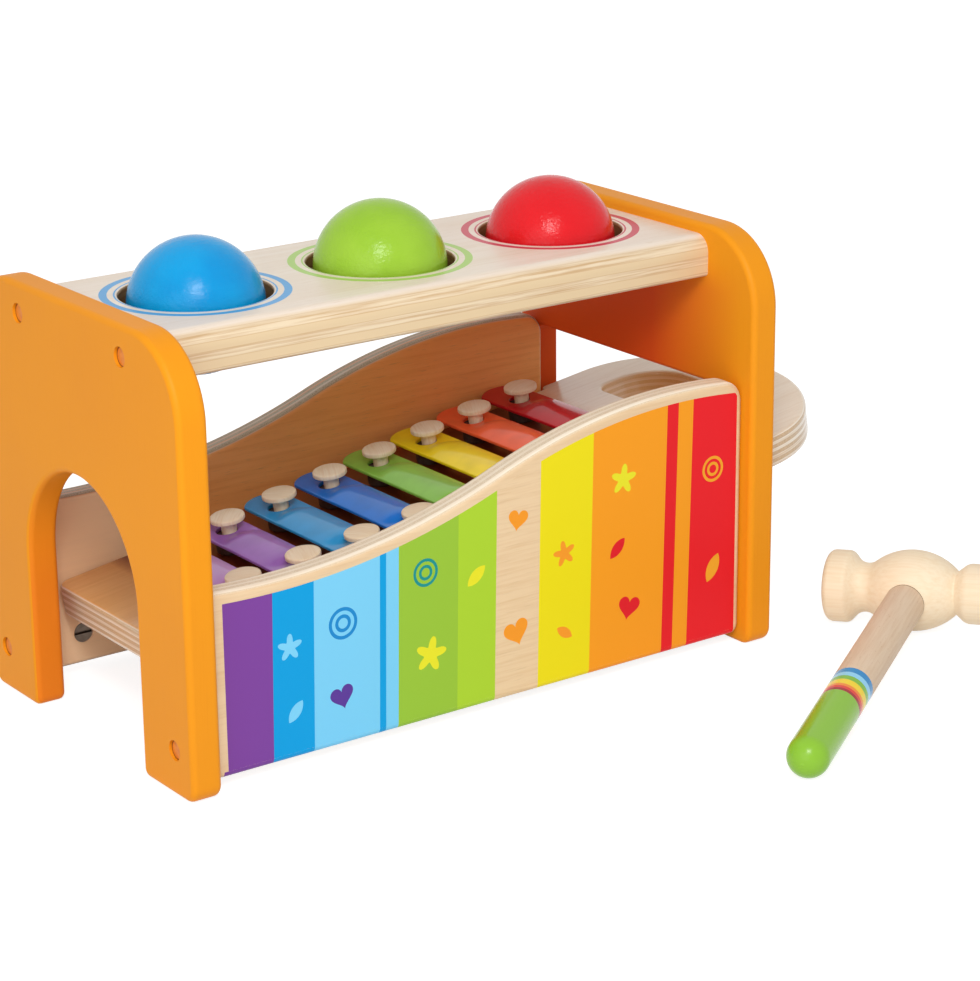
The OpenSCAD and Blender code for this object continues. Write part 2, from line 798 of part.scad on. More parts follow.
// One bar: a flat plate with two round tips and a hollow crown pressed up between its holes
module bar(i, paint) {
  length = along_bars(i, bar_short, bar_long);
  span = along_bars(i, peg_span_short, peg_span_long);
  half_width = bar_width / 2;
  radius = (pow(half_width, 2) + pow(bar_crown, 2)) / (2 * bar_crown);
  drop = radius - bar_crown;
  half_run = span / 2 - crown_start - half_width;
  tip = length / 2 - bar_tip_radius;
  color(paint) on_board() at_bar(i) translate([-bar_slip, 0, spacer_height]) difference() {
    union() {
      linear_extrude(bar_thickness) intersection() {
        square([bar_width, length], center = true);
        union() {
          square([bar_width, 2 * tip], center = true);
          for (end = [-1, 1]) translate([0, end * tip]) circle(bar_tip_radius);
        }
      }
      translate([0, 0, bar_thickness]) intersection() {
        crown_body(half_run, radius, drop);
        translate([-half_width, -length / 2, -bar_thickness / 2])
          cube([bar_width, length, bar_crown + bar_thickness]);
      }
    }
    for (end = [-1, 1]) translate([0, end * span / 2, -overrun])
      cylinder(h = bar_thickness + 2 * overrun, r = bar_hole / 2);
    intersection() {
      crown_body(half_run, radius, drop);
      translate([-half_width, -length / 2, -overrun])
        cube([bar_width, length, bar_crown + bar_thickness]);
    }
  }
}

module lilac_bar() { bar(0, "#B080C0"); }
module purple_bar() { bar(1, "#8A5CA8"); }
module sky_blue_bar() { bar(2, "#2E86C0"); }
module deep_blue_bar() { bar(3, "#1F5FA8"); }
module green_bar() { bar(4, "#5DA544"); }
module yellow_bar() { bar(5, "#E8C020"); }
module orange_bar() { bar(6, "#E2503C"); }
module crimson_bar() { bar(7, "#A8203A"); }

// Mushroom-headed wooden pegs with a low dome
module pegs(side) {
  stem = peg_diameter / 2;
  head = peg_head_diameter / 2;
  rim = peg_height - peg_dome;
  dome_radius = (pow(head - peg_edge, 2) + pow(peg_dome, 2)) / (2 * peg_dome);
  color("#EBD3AE") on_board() at_pegs(side) rotate_extrude() union() {
    translate([0, -peg_depth]) square([stem, peg_depth + peg_height - peg_head]);
    rounded_outline(
      [[0, peg_height - peg_head], [head, peg_height - peg_head], [head, rim], [0, rim]],
      [0, peg_edge / 2, peg_edge, 0]);
    intersection() {
      translate([0, peg_height - dome_radius]) circle(dome_radius);
      translate([0, rim - peg_edge]) square([head - peg_edge, peg_edge + peg_dome]);
    }
  }
}

module front_pegs() { pegs(-1); }
module back_pegs() { pegs(1); }

module spacers(side) {
  outer = spacer_diameter / 2;
  inner = peg_diameter / 2 + fit_room;
  color("#4A4A4C") on_board() at_pegs(side) rotate_extrude() rounded_outline(
    [[inner, 0], [outer, 0], [outer, spacer_height], [inner, spacer_height]],
    [0, spacer_edge, spacer_edge, 0]);
}

module front_spacers() { spacers(-1); }
module back_spacers() { spacers(1); }

// The hammer lies on its barrel, its wide striking rim and the handle's tip. Its head dips until the
// rim touches the floor, and it rolls until the tip does.
barrel_drop = barrel_radius - bulge_radius;
rim_reach = head_length / 2 - striker_edge;
rim_arm = striker_radius - striker_edge + barrel_drop;
head_dip = asin((barrel_radius - striker_edge) / norm([rim_reach, rim_arm])) - atan2(rim_arm, rim_reach);
head_height = barrel_radius - barrel_drop * cos(head_dip);
handle_dip = asin((head_height - handle_radius) / handle_length / cos(head_dip));

// The hammer's frame: X along the head's axis, Y along the handle from the head's middle
module on_hammer() {
  translate([right_outer + hammer_right, -half_depth - hammer_front, head_height])
    rotate([-handle_dip, head_dip, hammer_turn]) children();
}

// Half of the head's outline, from its middle to one striking face
module half_head_profile(neck, fillet, slope, shoulder, radius, length) {
  end = head_length / 2;
  shelf = end - length;
  past_axis = barrel_drop + neck + fillet;
  fillet_middle = sqrt(pow(barrel_radius + fillet, 2) - pow(past_axis, 2));
  rounded_outline(
    [[0, 0], [neck, 0], [neck, shelf - slope], [radius, shelf], [radius, end], [0, end]],
    [0, 0, fillet, shoulder, striker_edge, 0]);
  difference() {
    polygon([
      [0, fillet_middle * barrel_drop / past_axis], [neck + fillet, fillet_middle], [0, fillet_middle]
    ]);
    translate([neck + fillet, fillet_middle]) circle(fillet);
  }
  intersection() {
    translate([-barrel_drop, 0]) circle(barrel_radius);
    square([bulge_radius, fillet_middle]);
  }
}

module hammer_head() {
  color("#F3DEBC") on_hammer() difference() {
    rotate([0, 90, 0]) rotate_extrude() union() {
      half_head_profile(
        neck_radius, neck_fillet, striker_slope, striker_edge, striker_radius, striker_length);
      mirror([0, 1]) half_head_profile(
        groove_neck_radius, groove_fillet, heel_slope, heel_shoulder, heel_radius, heel_length);
    }
    rotate([-90, 0, 0]) translate([0, 0, -handle_tenon])
      cylinder(h = handle_tenon + bulge_radius + overrun, r = handle_radius + fit_room);
  }
}

module hammer_handle() {
  color("#DCBFA3") on_hammer() rotate([-90, 0, 0]) {
    translate([0, 0, -handle_tenon]) cylinder(h = handle_tenon + handle_length, r = handle_radius);
    translate([0, 0, handle_length]) sphere(handle_radius);
  }
}

left_end_panel();
right_end_panel();
top_board();
front_wave_panel();
back_wave_panel();
front_runner_rail();
back_runner_rail();
bolts(0);  // left_bolts
bolts(1);  // right_bolts
barrel_nuts(0);  // left_barrel_nuts
barrel_nuts(1);  // right_barrel_nuts
plugs(0);  // left_plugs
plugs(1);  // right_plugs
dowels(0);  // left_dowels
dowels(1);  // right_dowels
ball_ring(ball_places[0], blue_ball_sink);  // blue_ball_ring
ball_ring(ball_places[1], green_ball_sink);  // green_ball_ring
ball_ring(ball_places[2], red_ball_sink);  // red_ball_ring
color("#0A9AD8") ball(ball_places[0], blue_ball_sink);  // blue_ball
color("#9CC63A") ball(ball_places[1], green_ball_sink);  // green_ball
color("#E31E26") ball(ball_places[2], red_ball_sink);  // red_ball
xylophone_board();
lilac_bar();
purple_bar();
sky_blue_bar();
deep_blue_bar();
green_bar();
yellow_bar();
orange_bar();
crimson_bar();
front_pegs();
back_pegs();
front_spacers();
back_spacers();
hammer_head();
hammer_handle();
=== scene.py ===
# %% [markdown]
# # A peg pounding bench with its xylophone
# Two painted end panels carry a plywood top board with three holes. A ball waits in each hole on a
# rubber ring, and the hammer drives it through, down onto a small xylophone that slides out to the right.
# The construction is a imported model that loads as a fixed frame. What follows gives it its finishes, and
# makes again, with softer edges and finer curves, the pieces that the eye rests on.

import math

import bpy
from mathutils import Euler, Matrix, Vector, kdtree
from mathutils.geometry import delaunay_2d_cdt


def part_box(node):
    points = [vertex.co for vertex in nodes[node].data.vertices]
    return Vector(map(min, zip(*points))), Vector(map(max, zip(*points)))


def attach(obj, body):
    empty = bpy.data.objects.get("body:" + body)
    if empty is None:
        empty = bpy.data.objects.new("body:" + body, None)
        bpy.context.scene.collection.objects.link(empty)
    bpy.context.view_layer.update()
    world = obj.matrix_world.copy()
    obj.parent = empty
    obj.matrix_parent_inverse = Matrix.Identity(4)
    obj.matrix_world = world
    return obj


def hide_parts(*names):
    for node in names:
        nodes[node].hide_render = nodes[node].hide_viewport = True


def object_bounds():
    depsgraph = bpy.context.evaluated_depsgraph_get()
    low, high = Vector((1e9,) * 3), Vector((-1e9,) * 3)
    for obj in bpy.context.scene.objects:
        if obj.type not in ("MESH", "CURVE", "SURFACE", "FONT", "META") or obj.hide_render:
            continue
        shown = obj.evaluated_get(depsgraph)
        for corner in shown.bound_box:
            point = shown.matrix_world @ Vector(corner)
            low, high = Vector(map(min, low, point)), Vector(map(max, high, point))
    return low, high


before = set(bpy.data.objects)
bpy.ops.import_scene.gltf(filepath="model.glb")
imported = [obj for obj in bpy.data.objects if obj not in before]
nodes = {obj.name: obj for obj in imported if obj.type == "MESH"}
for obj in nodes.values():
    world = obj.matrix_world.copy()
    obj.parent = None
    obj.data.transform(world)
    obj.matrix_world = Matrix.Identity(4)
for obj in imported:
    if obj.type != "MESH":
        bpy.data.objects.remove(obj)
cad_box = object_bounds()
MM = 0.001

# %% [markdown]
# ## The camera
# A long lens stands well back, as in a product picture, so the bench keeps its parallel lines. The camera's
# axes are built from its bearing, its dip and a slight roll, which are easier to check than three Euler
# angles.

# %% Camera
LENS, SENSOR = 108.31, 36
CAMERA_AT = Vector((-643.25, -796.825, 375.673)) * MM
BEARING, DIP, ROLL = (math.radians(a) for a in (35.8189, -18.1722, -0.5832))


def placed(name, data):
    """A new object in the scene."""
    made = bpy.data.objects.new(name, data)
    bpy.context.scene.collection.objects.link(made)
    return made


def axes_of_view(bearing, dip, roll):
    """Right, up and forward of a camera that looks along +Y at bearing 0 and turns towards +X."""
    forward = Vector((math.sin(bearing) * math.cos(dip), math.cos(bearing) * math.cos(dip), math.sin(dip)))
    level = Vector((math.cos(bearing), -math.sin(bearing), 0))
    lift = level.cross(forward)
    right = level * math.cos(roll) + lift * math.sin(roll)
    up = lift * math.cos(roll) - level * math.sin(roll)
    return right, up, forward


right, up, forward = axes_of_view(BEARING, DIP, ROLL)
lens = bpy.data.cameras.new("camera")
lens.lens, lens.sensor_width, lens.sensor_fit = LENS, SENSOR, "HORIZONTAL"
scene = bpy.context.scene
camera = placed("camera", lens)
turn = Matrix((right, up, -forward)).transposed().to_4x4()
camera.matrix_world = Matrix.Translation(CAMERA_AT) @ turn
scene.camera = camera
scene.view_settings.view_transform = "Standard"
print("camera:", [round(c, 3) for c in CAMERA_AT], "metres, lens", LENS, "mm")

# %% [markdown]
# ## Colours and nodes
# Colours are written as they look on a screen and turned to linear light by one function. One more small
# function adds a node, sets it and links it, so that each material below reads like its recipe. Most nodes
# are of three kinds: a sum, named by what it does in capitals, a range, and a mix of two colours.


# %% Helpers for materials
RANGE, MIX = "ShaderNodeMapRange", "ShaderNodeMix"


def paint(code):
    """An sRGB hex colour as linear red, green, blue and alpha."""
    parts = [int(code[i : i + 2], 16) / 255 for i in (1, 3, 5)]
    return [c / 12.92 if c <= 0.04045 else ((c + 0.055) / 1.055) ** 2.4 for c in parts] + [1]


def feed(slot, value):
    """Sets an input to a value or a paint's code, or links it. A node stands for its first output in use."""
    if isinstance(value, bpy.types.Node):
        value = next(s for s in value.outputs if s.enabled)
    if isinstance(value, bpy.types.NodeSocket):
        slot.id_data.links.new(value, slot)
    else:
        slot.default_value = paint(value) if str(value).startswith("#") else value


def add(tree, kind, *inputs, **settings):
    """Adds a node with its settings. A kind in capitals is what a maths node does. Inputs go to the node's
    inputs in use, in order, or by name from a dictionary."""
    if kind.isupper():
        kind, settings["operation"] = "ShaderNodeMath", kind
    made = tree.nodes.new(kind)
    if kind == MIX:
        made.data_type = "RGBA"
    for name, value in settings.items():
        setattr(made, name, value)
    used = [slot for slot in made.inputs if slot.enabled]
    for k, value in enumerate(inputs):
        named = value if isinstance(value, dict) else {k: value}
        for name, part in named.items():
            feed(made.inputs[name] if isinstance(name, str) else used[name], part)
    return made


# %% [markdown]
# A real finish is seldom one even colour. It starts from a paint, a pattern of grains stains that with a
# second one, and the same or another pattern raises the surface by a few hundredths of a millimetre.


# %% Helpers for finishes
def finish_of(name, at=None, turned=(0, 0, 0)):
    """A new material, its tree, its shader and its object coordinates, which are those of a piece's own
    frame where that is given."""
    made = bpy.data.materials.new(name)
    made.use_nodes = True
    tree = made.node_tree
    shader = next(n for n in tree.nodes if n.type == "BSDF_PRINCIPLED")
    place = add(tree, "ShaderNodeTexCoord").outputs["Object"]
    if at is not None:
        place = add(tree, "ShaderNodeMapping", {"Vector": place, "Location": at, "Rotation": turned},
                    vector_type="TEXTURE")
    return made, tree, shader, place


def settle(shader, relief, depth, strength, **inputs):
    """Feeds a shader's inputs, and gives its surface a relief of a real depth in metres."""
    for name, value in inputs.items():
        feed(shader.inputs[name.replace("_", " ")], value)
    raised = add(shader.id_data, "ShaderNodeBump",
                 {"Height": relief, "Distance": depth, "Strength": strength})
    feed(shader.inputs["Normal"], raised)


def grains(tree, place, size, detail=2.0, stretch=(1, 1, 1), rough=0.5):
    """A pattern of grains about size metres wide, drawn out along the axes by stretch."""
    scaled = add(tree, "ShaderNodeVectorMath", place, [1 / (size * s) for s in stretch],
                 operation="MULTIPLY")
    return add(tree, "ShaderNodeTexNoise",
               {"Vector": scaled, "Scale": 1.0, "Detail": detail, "Roughness": rough})


def stain(tree, colour, over, pattern, low, high, share=1.0):
    """A colour with another one over it, more and more, up to a share, as a pattern goes from low to high."""
    return add(tree, MIX, add(tree, RANGE, pattern, low, high, 0, share), colour, over)


# %% [markdown]
# ## Painted end panels
# The end panels are beech, sprayed with a water-based satin paint. The paint hides the wood but keeps a faint
# orange peel, and on the sawn edges it sinks between the fibres in fine streaks along the grain. Inside the
# bench the orange is painted deeper and redder from the front edge inwards, as painted shade, and so are the
# jambs of the arch, more so towards their feet.


# %% Orange paint
left_in, right_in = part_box("left_end_panel")[1].x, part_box("right_end_panel")[0].x
ARCH_HALF, ARCH_SPRING, ARCH_EDGE = 35.4, 54.8, 0.8
# where the orange turns deeper as painted shade: behind the front edges, before the back ones, under the top
# board, down the arch's jambs, and how far past each panel's inner face
FRONT_FADE, BACK_FADE, TOP_FADE = (-60 * MM, -12 * MM), (66.5 * MM, 64 * MM), (135 * MM, 124 * MM)
JAMB_FADE, PAST_FACE = (88 * MM, 40 * MM), (0.4 * MM, 10.2 * MM)


def orange_paint():
    made, tree, shader, place = finish_of("sprayed satin paint, orange")
    drift = grains(tree, place, 60 * MM, 3)
    colour = stain(tree, "#EC9616", "#E9931A", drift, 0.35, 0.65)
    streaks = grains(tree, place, 0.5 * MM, 3, stretch=(1, 1, 40))
    colour = stain(tree, colour, "#D97A12", streaks, 0.55, 0.75, 0.1)
    x, y, z = add(tree, "ShaderNodeSeparateXYZ", place).outputs
    to_back = add(tree, RANGE, y, *BACK_FADE)
    from_front = add(tree, "MULTIPLY", add(tree, RANGE, y, *FRONT_FADE), to_back)
    below_top = add(tree, RANGE, z, *TOP_FADE)
    from_middle = add(tree, "ABSOLUTE", add(tree, "SUBTRACT", x, (left_in + right_in) / 2))
    jamb = add(tree, RANGE, x, left_in, right_in, *PAST_FACE)
    inner = add(tree, "LESS_THAN", from_middle, add(tree, "ADD", jamb, (right_in - left_in) / 2))
    deep = add(tree, "MULTIPLY", inner, add(tree, "MULTIPLY", from_front, below_top))
    over_spring = add(tree, "MAXIMUM", add(tree, "SUBTRACT", z, ARCH_SPRING * MM), 0.0)
    reach = add(tree, "ShaderNodeCombineXYZ", y, over_spring)
    reach = add(tree, "ShaderNodeVectorMath", reach, operation="LENGTH")
    in_arch = add(tree, "MULTIPLY", add(tree, "LESS_THAN", reach, (ARCH_HALF + ARCH_EDGE) * MM),
                  add(tree, "LESS_THAN", x, left_in))
    jamb_painted_shade = add(tree, "MULTIPLY", in_arch, add(tree, RANGE, z, *JAMB_FADE, 0.1, 0.45))
    deep = add(tree, "MAXIMUM", deep, jamb_painted_shade)
    # painted shade: deeper, redder orange inside the bench and low in the arch's jambs
    colour = add(tree, MIX, deep, colour, "#E4581E")
    peel = grains(tree, place, 1.6 * MM, 2)
    height = add(tree, "ADD", peel, add(tree, "MULTIPLY", streaks, 0.5))
    settle(shader, height, 0.02 * MM, 0.6, Base_Color=colour, Roughness=0.45, Specular_IOR_Level=0.12)
    return made


ORANGE = orange_paint()
print("orange paint:", len(ORANGE.node_tree.nodes), "nodes")

# %% [markdown]
# ## Birch plywood
# Plywood shows two faces. Its sheets carry a pale veneer with long, faint grain. Its edges show the plies:
# every second one runs lengthwise and is pale, those between show their darker end grain, and a thin
# line of glue parts them. The material asks the surface which way it faces, and draws the one or the other.


# %% Plywood
def plywood(name, tones, at, turned, ply, gloss, coat=0.0, streak=0.5, ends_share=0.6, lines_share=0.8,
            painted_light_by_place=None):
    """Plywood in a board's own frame, with X along the grain and Z through its sheets. tones are the veneer,
    its grain, the pale ply, the dark ply and the glue line. The last argument may be a function that paints
    light and shade into the sheet's and the edge's colour by the place in that frame."""
    made, tree, shader, own = finish_of(name, at, turned)
    facing = add(tree, "ShaderNodeMapping",
                 {"Vector": add(tree, "ShaderNodeTexCoord").outputs["Normal"], "Rotation": turned},
                 vector_type="TEXTURE")
    axes = add(tree, "ShaderNodeSeparateXYZ", own)
    veneer, grain, pale, dark, glue = (paint(t) for t in tones)
    long_grain = grains(tree, own, 1.7 * MM, 4, stretch=(26, 1, 1), rough=0.6)
    figure = grains(tree, own, 14 * MM, 2, stretch=(7, 1, 1))
    pores = grains(tree, own, 0.45 * MM, 2, stretch=(14, 1, 1))
    sheet = stain(tree, veneer, grain, long_grain, 0.45, 0.75, streak)
    sheet = stain(tree, sheet, grain, figure, 0.4, 0.7, 0.35)
    sheet = stain(tree, sheet, glue, pores, 0.62, 0.72, 0.25)
    level = add(tree, "DIVIDE", axes.outputs["Z"], ply)
    wander = add(tree, RANGE, grains(tree, own, 30 * MM, 1), 0, 1, -0.12, 0.12)
    level = add(tree, "ADD", level, wander)
    odd = add(tree, "GREATER_THAN", add(tree, "PINGPONG", level, 1.0), 0.5)
    within = add(tree, "FRACT", add(tree, "ADD", level, 0.5))
    off_middle = add(tree, "SUBTRACT", within, 0.5)
    near_glue = add(tree, RANGE, add(tree, "ABSOLUTE", off_middle), 0.42, 0.5)
    lines = grains(tree, own, 0.9 * MM, 3, stretch=(45, 45, 1), rough=0.65)
    ends = grains(tree, own, 0.35 * MM, 2)
    lit = stain(tree, pale, glue if ends_share == 0 else grain, lines, 0.42, 0.66, lines_share)
    shut = stain(tree, dark, glue, ends, 0.4, 0.65, ends_share)
    edge = add(tree, MIX, odd, lit, shut)
    edge = add(tree, MIX, add(tree, "MULTIPLY", near_glue, 0.55), edge, glue)
    if painted_light_by_place:
        sheet, edge = painted_light_by_place(tree, axes.outputs, sheet, edge)
    up_share = add(tree, "ABSOLUTE", add(tree, "ShaderNodeSeparateXYZ", facing).outputs["Z"])
    colour = stain(tree, edge, sheet, up_share, 0.72, 0.9)
    relief = add(tree, "ADD", long_grain, add(tree, "MULTIPLY", lines, 0.5))
    settle(shader, relief, 0.03 * MM, 0.5, Base_Color=colour, Roughness=gloss, Specular_IOR_Level=0.3,
           Coat_Weight=coat, Coat_Roughness=0.12)
    return made


# %% [markdown]
# ## Plates with round rims
# Wave panels, the xylophone's board and its bars are all plates: a flat shape with a rounded rim. An outline
# is drawn from corners and radii, as on a drawing board, and each of its points knows which way is out.


# %% Outlines
def bend(points, radii, i):
    """The arc at one corner: its middle, where it starts, its sweep and whether it turns outwards."""
    p = points[i]
    a = (points[i - 1] - p).normalized()
    b = (points[(i + 1) % len(points)] - p).normalized()
    half = math.acos(max(-1, min(1, a.dot(b)))) / 2
    middle = p + (a + b).normalized() * radii[i] / math.sin(half)
    outward = 1 if a.x * b.y - a.y * b.x < 0 else -1
    start = p + a * radii[i] / math.tan(half) - middle
    return middle, math.atan2(start.y, start.x), outward * (math.pi - 2 * half), outward


def traced(corners, radii, error=0.004):
    """An outline in millimetres as points with the direction that faces out of the plate there."""
    points = [Vector(c) for c in corners]
    trace = []
    for i, radius in enumerate(radii):
        middle, start, sweep, outward = bend(points, radii, i)
        steps = max(2, math.ceil(abs(sweep) / (2 * math.acos(1 - error / radius))))
        for k in range(steps + 1):
            angle = start + sweep * k / steps
            way = Vector((math.cos(angle), math.sin(angle)))
            trace.append((middle + way * radius, way * outward))
    return trace


def ring_of(middle, radius, steps=48):
    """A round hole's outline, which runs clockwise because its plate lies outside it."""
    turns = [-2 * math.pi * k / steps for k in range(steps)]
    ways = [Vector((math.cos(a), math.sin(a))) for a in turns]
    return [(Vector(middle) + w * radius, -w) for w in ways]


def holds(loop, p):
    """Whether a closed loop of points goes round p."""
    inside = False
    for a, b in zip(loop, loop[1:] + loop[:1]):
        if (a.y > p.y) != (b.y > p.y) and p.x < (b.x - a.x) * (p.y - a.y) / (b.y - a.y) + a.x:
            inside = not inside
    return inside


# %% [markdown]
# The plate maker wraps rings of points over the rims of the outline and of the holes, and fills both faces.
# The direction of the surface is known exactly at every point, so it is given to the mesh. That keeps the
# large faces calm under a highlight, which smooth shading alone would bend near the rims.


# %% The plate maker
RIM_STEPS = 5


def fill(rims, extra, marks):
    """Triangles between closed loops of points, with loose points and marked outlines worked in."""
    points, edges = [], []
    for loop in rims + [m for mark in marks for m in mark]:
        first = len(points)
        points += loop
        edges += [(first + k, first + (k + 1) % len(loop)) for k in range(len(loop))]
    points += extra
    got, _, faces, came_from, _, _ = delaunay_2d_cdt(points, edges, [], 0, 1e-7)
    kept = []
    for face in faces:
        centre = sum((got[k] for k in face), Vector((0, 0))) / len(face)
        if not holds(rims[0], centre) or any(holds(hole, centre) for hole in rims[1:]):
            continue
        mark = 0
        for number, loops in enumerate(marks, 1):
            if sum(holds(loop, centre) for loop in loops) % 2:
                mark = number
        kept.append((face, mark))
    return got, kept, came_from


def plate(name, loops, thickness, rims, place, marks=(), blind=(), extra=(), exact=True):
    """A plate in millimetres, drawn lying on its lower face. loops holds the outline and the holes through
    it, blind the holes in its lower face with their depths, and marks the outlines on its upper face."""
    points, ways, faces, lower, upper = [], [], [], [], []
    tilts = [math.pi / 2 * k / RIM_STEPS for k in range(RIM_STEPS + 1)]

    def ring(trace, inset, height, tilt):
        first = len(points)
        for p, way in trace:
            q = p - way * inset
            points.append(Vector((q.x, q.y, height)))
            ways.append(Vector((way.x * math.cos(tilt), way.y * math.cos(tilt), math.sin(tilt))))
        return list(range(first, len(points)))

    def wall(trace, rim, above):
        """Faces from the lower face up over its rim and on through the rings above. Returns the last ring."""
        rings = [ring(trace, rim * (1 - math.sin(t)), rim * (1 - math.cos(t)), t - math.pi / 2)
                 for t in tilts] + [ring(trace, *placing) for placing in above]
        for low, high in zip(rings, rings[1:]):
            for k in range(len(low)):
                j = (k + 1) % len(low)
                faces.append((low[k], low[j], high[j], high[k]))
        lower.append(rings[0])
        return rings[-1]

    for trace, rim in zip(loops, rims):
        upper.append(wall(trace, rim, [(rim * (1 - math.cos(t)), thickness - rim * (1 - math.sin(t)), t)
                                       for t in tilts]))
    for trace, rim, depth in blind:
        faces.append(tuple(wall(trace, rim, [(0, depth, 0)])))
    kinds = [0] * len(faces)

    for indices, height, side in ((lower, 0, -1), (upper, thickness, 1)):
        flat = [[points[k].xy for k in loop] for loop in indices]
        order = [k for loop in indices for k in loop]
        got, kept, came_from = fill(flat, list(extra), marks if side > 0 else ())
        lookup = []
        for p, sources in zip(got, came_from):
            known = [s for s in sources if s < len(order)]
            if known:
                lookup.append(order[known[0]])
            else:
                lookup.append(len(points))
                points.append(Vector((p.x, p.y, height)))
                ways.append(Vector((0, 0, side)))
        for face, mark in kept:
            corners = [lookup[k] for k in face]
            faces.append(tuple(corners if side > 0 else reversed(corners)))
            kinds.append(mark)

    if place.determinant() < 0:
        faces = [tuple(reversed(f)) for f in faces]
    mesh = bpy.data.meshes.new(name)
    mesh.from_pydata([place @ (p * MM) for p in points], [], faces)
    mesh.polygons.foreach_set("use_smooth", [True] * len(faces))
    mesh.polygons.foreach_set("material_index", kinds)
    mesh.update()
    if exact:
        turned = place.to_3x3()
        mesh.normals_split_custom_set_from_vertices([(turned @ w).normalized() for w in ways])
    return placed(name, mesh)


# %% [markdown]
# ## The wave panels
# The front and the back panel share one outline: a hollow and a crown, two arcs with one slope where they
# meet. Its corners are worked out as on a drawing board, from the low point, the high point and the radii.

# %% Wave outline
panel_low, panel_high = (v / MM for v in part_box("front_wave_panel"))
LOW_INSET, HIGH_INSET = 19.3, 24.7
WAVE_LOW, WAVE_HIGH = 65.3, panel_high.z
HOLLOW_RADIUS = 256.0
PANEL_CORNER, PANEL_FOOT, PANEL_RIM = 8.0, 3.5, 2.2
PANEL_THICKNESS = panel_high.y - panel_low.y
JOIN = 0.99


def polar(radius, angle):
    return Vector((radius * math.cos(angle), radius * math.sin(angle)))


def wave_outline():
    """The outline of a wave panel, seen from the front."""
    low = Vector((panel_low.x + LOW_INSET, WAVE_LOW))
    high = Vector((panel_high.x - HIGH_INSET, WAVE_HIGH))
    slope = 2 * math.atan((high.y - low.y) / (high.x - low.x))
    both = (high.x - low.x) / math.sin(slope)
    crown_radius = both - HOLLOW_RADIUS
    hollow, crown = low + Vector((0, HOLLOW_RADIUS)), high - Vector((0, crown_radius))
    run = 1.2 * PANEL_FOOT
    lead = math.asin((LOW_INSET - run) / HOLLOW_RADIUS)
    corner_x = panel_high.x - PANEL_CORNER
    reach = crown_radius - PANEL_CORNER
    corner = Vector((corner_x, crown.y + math.sqrt(reach**2 - (corner_x - crown.x) ** 2)))
    fall = math.atan2(corner.y - crown.y, corner.x - crown.x)
    quarter = math.pi / 2
    points = [
        Vector((panel_low.x, panel_low.z)),
        Vector((panel_high.x, panel_low.z)),
        corner + polar(PANEL_CORNER / math.cos(fall / 2), fall / 2),
        crown + polar(crown_radius / math.cos((quarter + slope - fall) / 2), (quarter + slope + fall) / 2),
        hollow + polar(HOLLOW_RADIUS / math.cos((slope + lead) / 2), (slope - lead) / 2 - quarter),
        hollow + polar(HOLLOW_RADIUS, -lead - quarter) + Vector((-run, run * math.tan(lead))),
    ]
    radii = [PANEL_FOOT, PANEL_FOOT, PANEL_CORNER * JOIN, crown_radius * JOIN, HOLLOW_RADIUS * JOIN,
             PANEL_FOOT]
    return traced(points, radii)


wave_trace = wave_outline()
print("wave outline:", len(wave_trace), "points")

# %% [markdown]
# ## The printed front
# The front panel is screen-printed: stripes run from violet to red, a margin of bare wood stays along the
# wave, and one stripe is left bare. Small motifs in stronger inks go over them.

# %% Motifs
MARGIN_TOP, MARGIN_LEFT, MARGIN_RIGHT, MARGIN_FOOT = 3.9, 5.0, 2.7, 0.01


def circle(count):
    return [2 * math.pi * k / count for k in range(count)]


def blossom(x, z, size, turned=0.0, petals=5):
    return [[Vector((x, z)) + polar(size * (0.72 + 0.28 * math.cos(petals * a)), a + turned)
             for a in circle(60)]]


def hoop(x, z, size, line=0.22):
    """Two rings, one in the other, each as wide as a share of the size."""
    radii = [size, size * (1 - line), size * 0.55, size * (0.55 - line)]
    return [[Vector((x, z)) + polar(r, a) for a in circle(40)] for r in radii]


def heart(x, z, size, turned=0.0):
    loop = []
    for a in circle(48):
        p = Vector((16 * math.sin(a) ** 3,
                    13 * math.cos(a) - 5 * math.cos(2 * a) - 2 * math.cos(3 * a) - math.cos(4 * a)))
        p = Matrix.Rotation(turned, 2) @ (p * size / 16)
        loop.append(Vector((x, z)) + p)
    return [list(reversed(loop))]


def leaf(x, z, size, turned=0.0):
    """A leaf between two arcs."""
    bow, loop = math.radians(50), []
    radius = size / math.sin(bow)
    for side in (1, -1):
        for k in range(16):
            a = bow * (1 - k / 8) * side
            loop.append(Vector((math.sin(a) * radius, (math.cos(a) - math.cos(bow)) * radius * side)))
    return [[Vector((x, z)) + Matrix.Rotation(turned, 2) @ p for p in loop]]


INKS = {
    "pale_blue": "#7CCDF0", "blue": "#1F86C8", "violet": "#5B3A94", "teal": "#1F8F8A",
    "lemon": "#E6E02C", "amber": "#F2982A", "red": "#DC1E28", "honey": "#F0A52C",
}
MOTIFS = [
    ("pale_blue", blossom(-190.5, 42, 4.6, 0.3)),
    ("pale_blue", leaf(-189, 20, 4.2, 0.9)),
    ("blue", hoop(-170.5, 45.5, 5.4)),
    ("violet", heart(-171.5, 21, 4.4, 0.2)),
    ("teal", hoop(-138.5, 55.5, 4.8)),
    ("lemon", blossom(-137, 27, 6.2, 0.1)),
    ("lemon", leaf(-118.5, 50, 4.6, 0.7)),
    ("amber", heart(-101.5, 66, 4.0, -0.2)),
    ("amber", heart(-102.5, 27, 5.0, 0.25)),
    ("amber", blossom(-82.5, 50, 4.6, 0.5)),
    ("amber", leaf(-82.5, 22, 3.8, -0.6)),
    ("lemon", blossom(-57.5, 71, 5.4, 0.2)),
    ("red", leaf(-60, 47, 4.4, 0.8)),
    ("red", heart(-55, 25, 4.6, -0.25)),
    ("honey", hoop(-18.5, 67, 4.6)),
    ("honey", leaf(-18, 31, 5.4, 1.1)),
]
print("motifs:", len(MOTIFS), "in", len(INKS), "inks")

